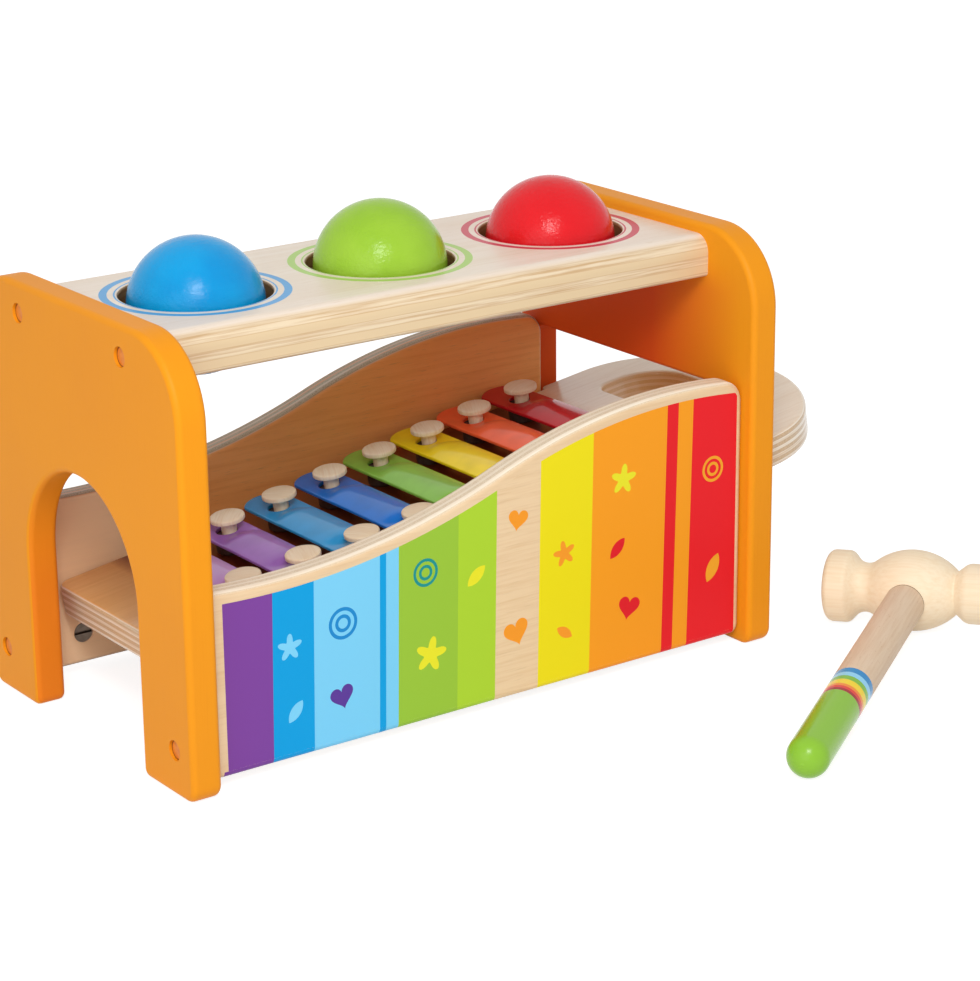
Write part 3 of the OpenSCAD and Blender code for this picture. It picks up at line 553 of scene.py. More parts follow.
# %% [markdown]
# The print's outline and the motifs are cut into the panel's face itself, so their edges stay crisp at any
# distance, and need no picture.

# %% Print outline
print_left, print_right = panel_low.x + MARGIN_LEFT, panel_high.x - MARGIN_RIGHT
print_foot = panel_low.z + PANEL_RIM + MARGIN_FOOT
print_top = [p - way * MARGIN_TOP for p, way in wave_trace
             if way.y > 0.75 and print_left + 2 < p.x < panel_high.x - PANEL_CORNER + 0.5]


def run_on(a, b, x):
    """The point at x on the straight line through a and b."""
    return Vector((x, a.y + (b.y - a.y) * (x - a.x) / (b.x - a.x)))


print_loop = [
    Vector((print_left, print_foot)), Vector((print_right, print_foot)),
    run_on(print_top[1], print_top[0], print_right), *print_top,
    run_on(print_top[-2], print_top[-1], print_left),
]

STAND_UP = Matrix.Translation((0, panel_high.y * MM, 0)) @ Matrix.Rotation(math.pi / 2, 4, "X")
nut_place = Vector((16.5, 15.4))
NUT_HOLE, NUT_RIM, NUT_DEPTH = 3.55, 0.25, 7.2
nut_holes = [(ring_of((x, nut_place.y), NUT_HOLE, 32), NUT_RIM, NUT_DEPTH)
             for x in (panel_low.x + nut_place.x, panel_high.x - nut_place.x)]
marks = [[print_loop]] + [loops for _, loops in MOTIFS]
front_panel = plate("front_panel", [wave_trace], PANEL_THICKNESS, [PANEL_RIM], STAND_UP, marks, nut_holes)
print("front panel:", len(front_panel.data.polygons), "faces")

# %% [markdown]
# The stripes are a colour ramp across the panel with hard steps. A slight slant, a fortieth of the height,
# keeps them from looking ruled. The ramp's alpha is 0 on the bare stripe, and lets the wood through.
# Ink lies in the pores of the veneer, so the grain still shows as a faint relief. Below, the print runs on
# down over the front rim.

# %% Printed finish
STRIPES = [
    (0.0, "#7B4399"), (16.1, "#0A9CDA"), (31.5, "#7ACBEF"), (56.6, "#0A9CDA"), (58.8, "#7ACBEF"),
    (64.2, "#97C03A"), (87.4, "#AACF33"), (102.7, None), (120.6, "#EADA16"), (142.2, "#F39B20"),
    (173.3, "#E21F26"), (177.9, "#F39B20"), (184.9, "#E62028"),
]
STRIPES_FROM, STRIPES_LEVEL, STRIPES_WIDTH, SLANT = -213.6, 45, 206.0, 0.024
WOOD_TONES = ("#E8CBA4", "#D6AF82", "#F2E6D2", "#EADBC2", "#CDB08A")


def colour_steps(tree, factor, steps):
    """The colour and alpha of a ramp with hard steps, from pairs of a place and a colour."""
    ramp = add(tree, "ShaderNodeValToRGB", factor)
    ramp.color_ramp.interpolation = "CONSTANT"
    stops = ramp.color_ramp.elements
    stops.remove(stops[1])
    stops[0].position, stops[0].color = steps[0]
    for at, colour in steps[1:]:
        stops.new(at).color = colour
    return ramp.outputs["Color"], ramp.outputs["Alpha"]


def veneer_colour(tree, own, tones):
    """Bare veneer's colour with its long grain, for a finish that isn't all wood."""
    grain = grains(tree, own, 1.4 * MM, 4, stretch=(22, 1, 1), rough=0.6)
    fine = grains(tree, own, 0.5 * MM, 2, stretch=(16, 1, 1))
    colour = stain(tree, tones[0], tones[1], grain, 0.45, 0.75, 0.6)
    return stain(tree, colour, tones[4], fine, 0.6, 0.72, 0.3), grain


def printed_stripes():
    made, tree, shader, place = finish_of("screen-printed birch plywood")
    axes = add(tree, "ShaderNodeSeparateXYZ", place)
    lean = add(tree, "MULTIPLY", axes.outputs["Z"], -SLANT)
    across = add(tree, "ADD", axes.outputs["X"], lean)
    start = STRIPES_FROM * MM - SLANT * (STRIPES_LEVEL * MM)
    factor = add(tree, RANGE, across, start, start + STRIPES_WIDTH * MM)
    bare = paint(WOOD_TONES[0])[:3] + [0]
    ink, inked = colour_steps(tree, factor, [(at / STRIPES_WIDTH, paint(code) if code else bare)
                                             for at, code in STRIPES])
    wood, grain = veneer_colour(tree, place, WOOD_TONES)
    colour = add(tree, MIX, inked, wood, ink)
    settle(shader, grain, 0.03 * MM, 0.35, Base_Color=colour, Roughness=0.38, Specular_IOR_Level=0.12)
    return made


def printing_ink(name, code):
    made, tree, shader, place = finish_of("screen ink, " + name)
    grain = grains(tree, place, 1.4 * MM, 3, stretch=(22, 1, 1), rough=0.6)
    worn = [c * 0.8 for c in paint(code)]
    colour = stain(tree, code, worn, grain, 0.5, 0.8, 0.12)
    settle(shader, grain, 0.03 * MM, 0.35, Base_Color=colour, Roughness=0.38, Specular_IOR_Level=0.12)
    return made


PANEL_PLIES, UPRIGHT = 7, (math.pi / 2, 0, 0)
PANEL_PLY = PANEL_THICKNESS * MM / PANEL_PLIES
front_panel.data.materials.append(
    plywood("birch plywood, panel", WOOD_TONES, (0, panel_high.y * MM, 0), UPRIGHT, PANEL_PLY, 0.55,
            lines_share=0.3))
front_panel.data.materials.append(printed_stripes())
inks = {name: printing_ink(name, code) for name, code in INKS.items()}
for name, _ in MOTIFS:
    front_panel.data.materials.append(inks[name])
rim_back, rim_top = (panel_low.y + PANEL_RIM) * MM, (panel_low.z + PANEL_RIM) * MM
for face in front_panel.data.polygons:
    at = face.center
    on_rim = at.y < rim_back and at.z < rim_top and print_left < at.x / MM < print_right
    if face.material_index == 0 and on_rim:
        face.material_index = 1
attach(front_panel, "bench")
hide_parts("front_wave_panel")
print("printed faces:", sum(face.material_index > 0 for face in front_panel.data.polygons))

# %% [markdown]
# The back panel mirrors the front one and stays bare. Its place matrix mirrors, so the plate maker turns its
# faces round again.

# %% Back panel
MIRRORED = Matrix.Scale(-1, 4, Vector((0, 1, 0))) @ STAND_UP
back_panel = plate("back_panel", [wave_trace], PANEL_THICKNESS, [PANEL_RIM], MIRRORED, blind=nut_holes)
PALE_FADE = (-152 * MM, -178 * MM)
# The veneer and grain tones are a deep amber: painted warm bounce light and shade from the orange panels.
BOUNCE_LIT_BACK_TONES = ("#FFB46A", "#E69046", "#D8CCBA", "#CBBBA2", "#8E7454")


def painted_bounce_fading_by_arch(tree, axes, sheet, edge):
    """The deep tones in the middle are painted warm bounce light and shade; near the arch the veneer fades to
    its own pale colour.
    """
    return stain(tree, sheet, "#FFE6C0", axes["X"], *PALE_FADE, 0.75), edge


back_panel.data.materials.append(
    plywood("birch plywood, back panel", BOUNCE_LIT_BACK_TONES, (0, -panel_high.y * MM, 0), UPRIGHT, PANEL_PLY, 0.5,
            painted_light_by_place=painted_bounce_fading_by_arch))
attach(back_panel, "bench")
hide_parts("back_wave_panel")
print("back panel:", len(back_panel.data.polygons), "faces")

# %% [markdown]
# ## The xylophone's board
# The board slopes from its stop down to the left, so the balls roll over the bars and out of the arch. Its
# handle is one straight stretch, two bends and a long arc, with a slot for the fingers. It is varnished
# glossy, and mirrors the painted panel near the opening. Its colour carries painted warm light and shade
# inside the bench, and painted shade under the bars.

# %% Board outline
TILT = math.radians(8.64)
STOP_X, ENTRY_HEIGHT = -5.05, 67.4
BOARD_THICKNESS, BOARD_PLIES, BOARD_RIM, BOARD_CORNER = 11.5, 9, 1.5, 5.0
BOARD_HALF, SHOULDER, SHOULDER_LEAN = 51.9, 2.7, 0.2
HANDLE_REACH, HANDLE_STRAIGHT, HANDLE_BEND = 63.3, 19.2, 36.0
SLOT_START, SLOT_WIDTH, SLOT_HALF, SLOT_INNER, SLOT_OUTER, SLOT_EDGE = 12.3, 27.8, 35.6, 5.0, 18.0, 1
END_ROOM = 6.3
handle_half = BOARD_HALF + SHOULDER
board_length = (STOP_X - panel_low.x - END_ROOM) / math.cos(TILT)
ON_BOARD = Matrix.Translation(Vector((STOP_X, 0, ENTRY_HEIGHT)) * MM) @ Matrix.Rotation(-TILT, 4, "Y")


def board_outline():
    side, rise = handle_half - HANDLE_BEND, HANDLE_REACH - HANDLE_STRAIGHT
    tip = (rise**2 + side**2 - HANDLE_BEND**2) / (2 * (rise - HANDLE_BEND))
    tip_middle = HANDLE_REACH - tip
    angle = math.atan2(side, HANDLE_STRAIGHT - tip_middle)
    quarter = math.pi / 2
    knee = Vector((HANDLE_STRAIGHT, side)) + polar(HANDLE_BEND / math.cos((quarter - angle) / 2),
                                                   (quarter + angle) / 2)
    points = [
        Vector((-board_length, -BOARD_HALF)), Vector((0, -BOARD_HALF)), Vector((SHOULDER_LEAN, -handle_half)),
        Vector((knee.x, -knee.y)), Vector((tip_middle + tip / math.cos(angle), 0)), knee,
        Vector((SHOULDER_LEAN, handle_half)), Vector((0, BOARD_HALF)), Vector((-board_length, BOARD_HALF)),
    ]
    convex, concave = 0.58 * SHOULDER, 0.37 * SHOULDER
    radii = [BOARD_CORNER, concave, convex, HANDLE_BEND * JOIN, tip * JOIN, HANDLE_BEND * JOIN, convex,
             concave, BOARD_CORNER]
    return traced(points, radii)


def slot_outline():
    end = SLOT_START + SLOT_WIDTH
    points = [Vector(c) for c in ((SLOT_START, -SLOT_HALF), (end, -SLOT_HALF), (end, SLOT_HALF),
                                  (SLOT_START, SLOT_HALF))]
    trace = traced(points, [SLOT_INNER, SLOT_OUTER, SLOT_OUTER, SLOT_INNER])
    return [(p, -way) for p, way in reversed(trace)]


# where the painted light and shade on the varnish change along the board, from its stop: inside the bench, on
# the landing at the left end, under the first bar and under the last
INSIDE_FADE, LANDING_FADE = (0, -20 * MM), (-188 * MM, -194 * MM)
FIRST_BAR_FADE, LAST_BAR_FADE = (-13 * MM, -20 * MM), (-190 * MM, -184 * MM)


def painted_shade_on_varnish(tree, axes, sheet, edge):
    """Painted light and shade on the varnish: a deeper amber inside the bench, lighter on the landing,
    painted shade under the bars, and darker, warmer edges inside the bench and in the slot.
    """
    along = axes["X"]
    inside = add(tree, RANGE, along, *INSIDE_FADE)
    landing = add(tree, RANGE, along, *LANDING_FADE)
    amber = add(tree, MIX, landing, "#F0BC80", "#FACC92")
    painted_shade_under_bars = add(tree, "MULTIPLY", add(tree, RANGE, along, *FIRST_BAR_FADE),
                     add(tree, RANGE, along, *LAST_BAR_FADE))
    # painted warm light and shade inside the bench, and painted shade under the bars
    sheet = add(tree, MIX, inside, sheet, amber, blend_type="MULTIPLY")
    sheet = add(tree, MIX, painted_shade_under_bars, sheet, "#A06850", blend_type="MULTIPLY")
    in_slot = add(tree, "LESS_THAN", add(tree, "ABSOLUTE", axes["Y"]), (SLOT_HALF + SLOT_EDGE) * MM)
    short_of_end = add(tree, "LESS_THAN", along, (SLOT_START + SLOT_WIDTH + SLOT_EDGE) * MM)
    in_slot = add(tree, "MULTIPLY", in_slot, short_of_end)
    # painted shade on the edges inside the bench and in the slot
    warm = add(tree, "MAXIMUM", inside, in_slot)
    warm = add(tree, "MULTIPLY", warm, add(tree, RANGE, landing, 0, 1, 0.62, 0.1))
    return sheet, add(tree, MIX, warm, edge, "#D9A870")


LYING = ON_BOARD @ Matrix.Translation((0, 0, -BOARD_THICKNESS * MM))
board = plate("xylophone_deck", [board_outline(), slot_outline()], BOARD_THICKNESS, [BOARD_RIM, BOARD_RIM],
              LYING)
BOARD_TONES = ("#EBDAC2", "#D8BA94", "#F2E6D4", "#D6BA96", "#B08A60")
board.data.materials.append(
    plywood("varnished birch plywood", BOARD_TONES, Vector((STOP_X, 0, ENTRY_HEIGHT)) * MM, (0, -TILT, 0),
            BOARD_THICKNESS * MM / BOARD_PLIES, 0.32, coat=0.6, painted_light_by_place=painted_shade_on_varnish))
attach(board, "xylophone")
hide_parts("xylophone_board")
print("board:", len(board.data.polygons), "faces")

# %% [markdown]
# ## The bars
# Each bar is a blank of sheet steel, punched with two holes and pressed up along its middle, which stiffens
# it and gives it its note. The eight bars differ in length alone. So one blank is drawn, and a Geometry Nodes
# tree stretches it between its holes and its tips and presses the crown, as the tool in a press does.

# %% Bar blank
BAR_WIDTH, BAR_SHEET, BAR_RIM, HOLE_RIM = 16.0, 1.3, 0.4, 0.3
BAR_SHORT, BAR_LONG, BAR_TIP, BAR_CORNER, TIP_JOIN = 70.0, 102.9, 9.5, 2.0, 0.95
GRID_STEP, GRID_ROOM = 1.0, 0.45
SPAN_SHORT, SPAN_LONG, BAR_HOLE = 44.2, 68.8, 3.8
BAR_START, BAR_PITCH, BARS = 32.3, 22.2, 8
CROWN, CROWN_START, SPACER = 1.8, 6.0, 6.5
PEG_STEM = 2.7
BAR_SLIP = BAR_HOLE - PEG_STEM - 0.05
half_width = BAR_WIDTH / 2


def bar_blank():
    middle = BAR_SHORT / 2 - BAR_TIP
    side = middle + math.sqrt(BAR_TIP**2 - half_width**2)
    apex = middle + BAR_TIP**2 / math.sqrt(BAR_TIP**2 - half_width**2)
    points = [Vector(c) for c in ((half_width, -side), (half_width, side), (0, apex),
                                  (-half_width, side), (-half_width, -side), (0, -apex))]
    trace = traced(points, 2 * [BAR_CORNER, BAR_CORNER, BAR_TIP * TIP_JOIN])
    long_sides = []
    for (p, way), (q, _) in zip(trace, trace[1:] + trace[:1]):
        long_sides.append((p, way))
        steps = int((q - p).length // GRID_STEP)
        long_sides += [(p.lerp(q, k / steps), way) for k in range(1, steps)]
    holes = [ring_of((0, end * SPAN_SHORT / 2), BAR_HOLE, 40) for end in (1, -1)]
    near = kdtree.KDTree(sum(len(t) for t in [long_sides] + holes))
    for k, (p, way) in enumerate(p for t in [long_sides] + holes for p in t):
        q = p - way * BAR_RIM
        near.insert((q.x, q.y, 0), k)
    near.balance()
    grid, edge = [], [q - w * BAR_RIM for q, w in long_sides]
    for row in range(int(BAR_SHORT / GRID_STEP)):
        for column in range(int(BAR_WIDTH / GRID_STEP) + 1):
            p = Vector((column * GRID_STEP - half_width, (row + 0.5) * GRID_STEP - BAR_SHORT / 2))
            if holds(edge, p) and near.find((p.x, p.y, 0))[2] > GRID_ROOM and not any(
                    holds([q for q, _ in hole], p) for hole in holes):
                grid.append(p)
    return plate("bar_blank", [long_sides] + holes, BAR_SHEET, [BAR_RIM, HOLE_RIM, HOLE_RIM],
                 Matrix.Identity(4), extra=grid, exact=False)


blank = bar_blank()
print("bar blank:", len(blank.data.polygons), "faces")

# %% [markdown]
# The tree works in four moves. It shifts every point away from the middle by what the hole needs, then by
# what the tip needs more, and both shifts ramp up over a stretch of plain sheet, so that hole and tip keep
# their shape. It lifts each point onto a long cylinder with round ends, which is the crown. It sets the
# finish and places the bar on the board.


# %% Press tree
PLAIN_INSIDE, PLAIN_OUTSIDE, PLAIN_TIP, CROWN_BLEND = 0.5, 0.3, 5.0, 0.35


def tree_with(name, sockets):
    """A Geometry Nodes tree with a geometry in and out and named inputs."""
    tree = bpy.data.node_groups.new(name, "GeometryNodeTree")
    tree.interface.new_socket("Geometry", in_out="INPUT", socket_type="NodeSocketGeometry")
    for label, kind in sockets:
        tree.interface.new_socket(label, in_out="INPUT", socket_type="NodeSocket" + kind)
    tree.interface.new_socket("Geometry", in_out="OUTPUT", socket_type="NodeSocketGeometry")
    return tree, add(tree, "NodeGroupInput").outputs, add(tree, "NodeGroupOutput")


def press_tree():
    tree, given, out = tree_with("press a bar", [
        ("Length", "Float"), ("Peg Span", "Float"), ("Crown Height", "Float"),
        ("Place", "Vector"), ("Tilt", "Float"), ("Material", "Material"),
    ])
    x, y, z = add(tree, "ShaderNodeSeparateXYZ", add(tree, "GeometryNodeInputPosition")).outputs
    away = add(tree, "ABSOLUTE", y)
    half_span = add(tree, "MULTIPLY", given["Peg Span"], 0.5)
    more_span = add(tree, "SUBTRACT", half_span, SPAN_SHORT / 2 * MM)
    more_length = add(tree, "SUBTRACT", add(tree, "MULTIPLY", given["Length"], 0.5), BAR_SHORT / 2 * MM)
    more_tip = add(tree, "SUBTRACT", more_length, more_span)
    to_hole = add(tree, RANGE, away, 0.0, (SPAN_SHORT / 2 - BAR_HOLE - PLAIN_INSIDE) * MM)
    to_tip = add(tree, RANGE, away, (SPAN_SHORT / 2 + BAR_HOLE + PLAIN_OUTSIDE) * MM,
                 (BAR_SHORT / 2 - PLAIN_TIP) * MM)
    shift = add(tree, "ADD", add(tree, "MULTIPLY", to_hole, more_span),
                add(tree, "MULTIPLY", to_tip, more_tip))
    stretched = add(tree, "ADD", away, shift)
    new_y = add(tree, "MULTIPLY", stretched, add(tree, "SIGN", y))

    w, crown = half_width * MM, given["Crown Height"]
    square = add(tree, "MULTIPLY", crown, crown)
    radius = add(tree, "DIVIDE", add(tree, "ADD", square, w * w), add(tree, "MULTIPLY", crown, 2.0))
    half_run = add(tree, "SUBTRACT", half_span, CROWN_START * MM + w)
    past = add(tree, "MAXIMUM", add(tree, "SUBTRACT", stretched, half_run), 0.0)
    flat = add(tree, "ADD", add(tree, "MULTIPLY", x, x), add(tree, "MULTIPLY", past, past))
    dome = add(tree, "SUBTRACT", add(tree, "MULTIPLY", radius, radius), flat)
    lift = add(tree, "SUBTRACT", add(tree, "SQRT", dome), add(tree, "SUBTRACT", radius, crown))
    new_z = add(tree, "ADD", z, add(tree, "SMOOTH_MAX", lift, 0.0, CROWN_BLEND * MM))

    pressed = add(tree, "GeometryNodeSetPosition",
                  {"Geometry": given["Geometry"],
                   "Position": add(tree, "ShaderNodeCombineXYZ", x, new_y, new_z)})
    lean = add(tree, "ShaderNodeCombineXYZ", {"Y": given["Tilt"]})
    set_down = add(tree, "GeometryNodeTransform",
                   {"Geometry": pressed, "Translation": given["Place"], "Rotation": lean})
    real = add(tree, "GeometryNodeRealizeInstances", set_down)
    finished = add(tree, "GeometryNodeSetMaterial", {"Geometry": real, "Material": given["Material"]})
    feed(out.inputs[0], finished)
    return tree


def made_by(tree, name, source, **inputs):
    """Runs a tree over a mesh and returns the result as a plain mesh object."""
    draft = placed(name + "_draft", source)
    modifier = draft.modifiers.new("tree", "NODES")
    modifier.node_group = tree
    sockets = {s.name: s.identifier for s in tree.interface.items_tree if s.in_out == "INPUT"}
    for label, value in inputs.items():
        modifier[sockets[label.replace("_", " ")]] = value
    settled = draft.evaluated_get(bpy.context.evaluated_depsgraph_get())
    mesh = bpy.data.meshes.new_from_object(settled)
    bpy.data.objects.remove(draft)
    mesh.name = name
    return placed(name, mesh)


# %% [markdown]
# Baked enamel is glossy and deep. Its colour turns a little darker in broad patches at random. The real bars
# mirror the panels beside them, so the finish keeps a clear coat.


# %% Enamel
def enamel(name, code):
    made, tree, shader, place = finish_of("baked enamel, " + name)
    pool = grains(tree, place, 9 * MM, 2)
    colour = stain(tree, code, [c * 0.86 for c in paint(code)], pool, 0.35, 0.7)
    settle(shader, grains(tree, place, 3 * MM, 2), 0.015 * MM, 0.5, Base_Color=colour, Roughness=0.35,
           Specular_IOR_Level=0.15, Coat_Weight=0.42, Coat_Roughness=0.04)
    return made


BAR_COLOURS = [
    ("lilac", "#CC9ADA"), ("purple", "#A06CC0"), ("sky_blue", "#2E9AD8"), ("deep_blue", "#1C76D6"),
    ("green", "#8ECA50"), ("yellow", "#FFE41C"), ("orange", "#FF6A3C"), ("crimson", "#C41824"),
]


def along_bars(i, first, last):
    return first + (last - first) * i / (BARS - 1)


def bar_x(i):
    return BAR_START - board_length + i * BAR_PITCH


press = press_tree()
for i, (name, code) in enumerate(BAR_COLOURS):
    seat = ON_BOARD @ (Vector((bar_x(i) - BAR_SLIP, 0, SPACER)) * MM)
    bar = made_by(press, name + "_pressed_bar", blank.data, Length=along_bars(i, BAR_SHORT, BAR_LONG) * MM,
                  Peg_Span=along_bars(i, SPAN_SHORT, SPAN_LONG) * MM, Crown_Height=CROWN * MM,
                  Place=seat, Tilt=-TILT, Material=enamel(name, code))
    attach(bar, "xylophone")
    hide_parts(name + "_bar")
bpy.data.objects.remove(blank)
print("bars:", BARS, "each lowered", round(BAR_SLIP, 2), "mm down the slope onto its pegs")

# %% [markdown]
# ## The pegs
# Sixteen turned birch pegs hold the bars loosely by their holes. One peg is turned as a profile spun about
# its axis.


# %% Lathe
def turned_piece(name, profile, segments=48):
    """Spins a profile of (radius, height) pairs in millimetres about Z. It starts and ends on the axis."""
    mesh = bpy.data.meshes.new(name)
    points, rings, faces = [], [], []
    for radius, height in profile:
        count = 1 if radius == 0 else segments
        rings.append(range(len(points), len(points) + count))
        for a in circle(segments)[:count]:
            points.append(Vector((radius * math.cos(a), radius * math.sin(a), height)) * MM)
    for low, high in zip(rings, rings[1:]):
        for k in range(segments):
            j = (k + 1) % segments
            corners = [low[k % len(low)], low[j % len(low)], high[j % len(high)], high[k % len(high)]]
            faces.append(tuple(dict.fromkeys(corners)))
    mesh.from_pydata(points, [], faces)
    mesh.polygons.foreach_set("use_smooth", [True] * len(faces))
    mesh.update()
    return mesh


def arc(middle, radius, start, end, steps=6):
    """Points on an arc of a profile, with its angles in degrees."""
    turns = [math.radians(start + (end - start) * k / steps) for k in range(steps + 1)]
    return [(middle[0] + radius * math.cos(a), middle[1] + radius * math.sin(a)) for a in turns]


# %% [markdown]
# A second tree sets a copy of the peg on every point of a row, leans it with the board, turns each by chance
# about its own axis, and gives each a number of its own, so that no two show the same grain.


# %% Peg and its copies
PEG_HEAD, PEG_TOP, PEG_THICK, PEG_DEPTH, PEG_DOME, PEG_EDGE = 6.05, 13.4, 2.1, 8.0, 0.4, 0.55
PEG_FILLET, PEG_BEAD = 0.4, 0.3


def peg_mesh():
    under, brim = PEG_TOP - PEG_THICK, PEG_TOP - PEG_DOME
    profile = [(0, -PEG_DEPTH), (PEG_STEM - PEG_FILLET, -PEG_DEPTH), (PEG_STEM, -PEG_DEPTH + PEG_FILLET)]
    profile += [(PEG_STEM, h) for h in (0, SPACER, SPACER + BAR_SHEET)]
    profile += arc((PEG_STEM + PEG_FILLET, under - PEG_FILLET), PEG_FILLET, 180, 90, 4)
    profile += arc((PEG_HEAD - PEG_BEAD, under + PEG_BEAD), PEG_BEAD, -90, 0, 4)
    profile += arc((PEG_HEAD - PEG_EDGE, brim - PEG_EDGE), PEG_EDGE, 0, 80, 5)
    rim, rise = profile[-1][0], PEG_TOP - profile[-1][1]
    profile += [(rim * (1 - k / 5), PEG_TOP - rise * (1 - k / 5) ** 2) for k in range(1, 6)]
    mesh = turned_piece("peg", profile)
    grain = mesh.attributes.new("grain", "FLOAT_VECTOR", "POINT")
    grain.data.foreach_set("vector", [c for v in mesh.vertices for c in v.co])
    return mesh


def copies_tree():
    tree, given, out = tree_with("set copies on points", [
        ("Piece", "Object"), ("Tilt", "Float"), ("Seed", "Int"), ("Material", "Material"),
    ])
    piece = add(tree, "GeometryNodeObjectInfo", {"Object": given["Piece"]}, transform_space="ORIGINAL")
    lean = add(tree, "ShaderNodeCombineXYZ", {"Y": given["Tilt"]})
    copies = add(tree, "GeometryNodeInstanceOnPoints",
                 {"Points": given["Geometry"], "Instance": piece.outputs["Geometry"], "Rotation": lean})
    share = add(tree, "FunctionNodeRandomValue", {"Min": 0.0, "Max": 1.0, "Seed": given["Seed"]})
    spin = add(tree, "ShaderNodeCombineXYZ", {"Z": add(tree, "MULTIPLY", share, 2 * math.pi)})
    turned = add(tree, "GeometryNodeRotateInstances", {"Instances": copies, "Rotation": spin})
    numbered = add(tree, "GeometryNodeStoreNamedAttribute",
                   {"Geometry": turned, "Name": "chance", "Value": share}, domain="INSTANCE")
    real = add(tree, "GeometryNodeRealizeInstances", numbered)
    finished = add(tree, "GeometryNodeSetMaterial", {"Geometry": real, "Material": given["Material"]})
    feed(out.inputs[0], finished)
    return tree


def turned_birch():
    made, tree, shader, _ = finish_of("turned birch, oiled")
    own = add(tree, "ShaderNodeAttribute", attribute_name="grain").outputs["Vector"]
    chance = add(tree, "ShaderNodeAttribute", attribute_name="chance").outputs["Fac"]
    apart = add(tree, "ShaderNodeVectorMath", own,
                add(tree, "ShaderNodeCombineXYZ", chance, chance, chance), operation="ADD")
    lines = grains(tree, apart, 0.55 * MM, 3, stretch=(18, 1, 18), rough=0.6)
    broad = grains(tree, apart, 2.6 * MM, 2, stretch=(6, 1, 6))
    colour = stain(tree, "#F6E3C6", "#E6C49A", lines, 0.45, 0.75, 0.7)
    colour = stain(tree, colour, "#ECD0A8", broad, 0.45, 0.7, 0.4)
    tone = add(tree, MIX, chance, [1, 1, 1, 1], [0.9, 0.88, 0.84, 1])
    colour = add(tree, MIX, 1.0, colour, tone, blend_type="MULTIPLY")
    settle(shader, lines, 0.04 * MM, 0.6, Base_Color=colour, Roughness=0.48, Coat_Weight=0.15,
           Coat_Roughness=0.3)
    return made


def row_of_points(name, side):
    mesh = bpy.data.meshes.new(name)
    places = [Vector((bar_x(i), side * along_bars(i, SPAN_SHORT, SPAN_LONG) / 2, 0)) for i in range(BARS)]
    mesh.from_pydata([ON_BOARD @ (p * MM) for p in places], [], [])
    return mesh


set_copies = copies_tree()
peg = placed("peg", peg_mesh())
BIRCH_PEG = turned_birch()
for seed, (name, side) in enumerate((("front", -1), ("back", 1)), 3):
    row = made_by(set_copies, name + "_turned_pegs", row_of_points(name + "_row", side), Piece=peg,
                  Tilt=-TILT, Seed=seed, Material=BIRCH_PEG)
    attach(row, "xylophone")
    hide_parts(name + "_pegs")
    print(row.name, len(row.data.polygons), "faces")
bpy.data.objects.remove(peg)

# %% [markdown]
# ## The balls
# Each ball is beech, turned and then dipped in three coats of lacquer. The lacquer is glossy but not glass:
# the grain of the wood and dust in the coat make the edge of every highlight crumble.


# %% Lacquer
def ball_lacquer(name, code, deep):
    made, tree, shader, place = finish_of("dipped lacquer, " + name)
    cloud = grains(tree, place, 18 * MM, 3)
    colour = stain(tree, code, deep, cloud, 0.4, 0.65)
    grain = grains(tree, place, 1.1 * MM, 3, stretch=(6, 1, 1), rough=0.6)
    dust = grains(tree, place, 1.3 * MM, 3)
    height = add(tree, "ADD", grain, add(tree, "MULTIPLY", dust, 0.8))
    settle(shader, height, 0.16 * MM, 0.8, Base_Color=colour, Roughness=0.14, Specular_IOR_Level=0.17)
    return made


BALL_TIP = math.radians(70)
BALLS = [("blue", "#0A9AD8", "#068FD0"), ("green", "#9CC63A", "#93BF32"), ("red", "#E31E26", "#DB1A22")]


def ball_mesh(name, radius):
    """A turned ball, with the small flats where the lathe's centres held it."""
    rim = arc((0, 0), radius, -87, 87, 62)
    return turned_piece(name, [(0, rim[0][1])] + rim + [(0, rim[-1][1])], 96)


for name, code, deep in BALLS:
    low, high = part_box(name + "_ball")
    mesh = ball_mesh(name + "_turned_ball", (high.z - low.z) / 2 / MM)
    mesh.transform(Matrix.Translation((low + high) / 2) @ Matrix.Rotation(BALL_TIP, 4, "X"))
    ball = placed(name + "_turned_ball", mesh)
    mesh.materials.append(ball_lacquer(name, code, deep))
    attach(ball, name + "_ball")
    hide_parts(name + "_ball")
    print(ball.name, "is", round((high.z - low.z) / MM, 2), "mm across")

# %% [markdown]
# ## The top board
# The top board stays as it is in the frame and gets a plywood finish with printed rings. A ring is a distance
# from the middle of its hole, so the material measures three distances and colours two bands of each. The
# wood in and round each hole, off the top face, is darkened as painted shade.

# %% Top board
top_low, top_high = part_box("top_board")
TOP_TONES = ("#EEDFCF", "#DFC7AA", "#E6D2B2", "#DEC59E", "#C29A6A")
RING_BANDS, BORE_SHADE, TOP_PLIES = ((28.3, 30.9), (25.7, 26.3)), 25.1, 5
RING_INKS = ("#4E9FD6", "#A9CC62", "#C8344A")


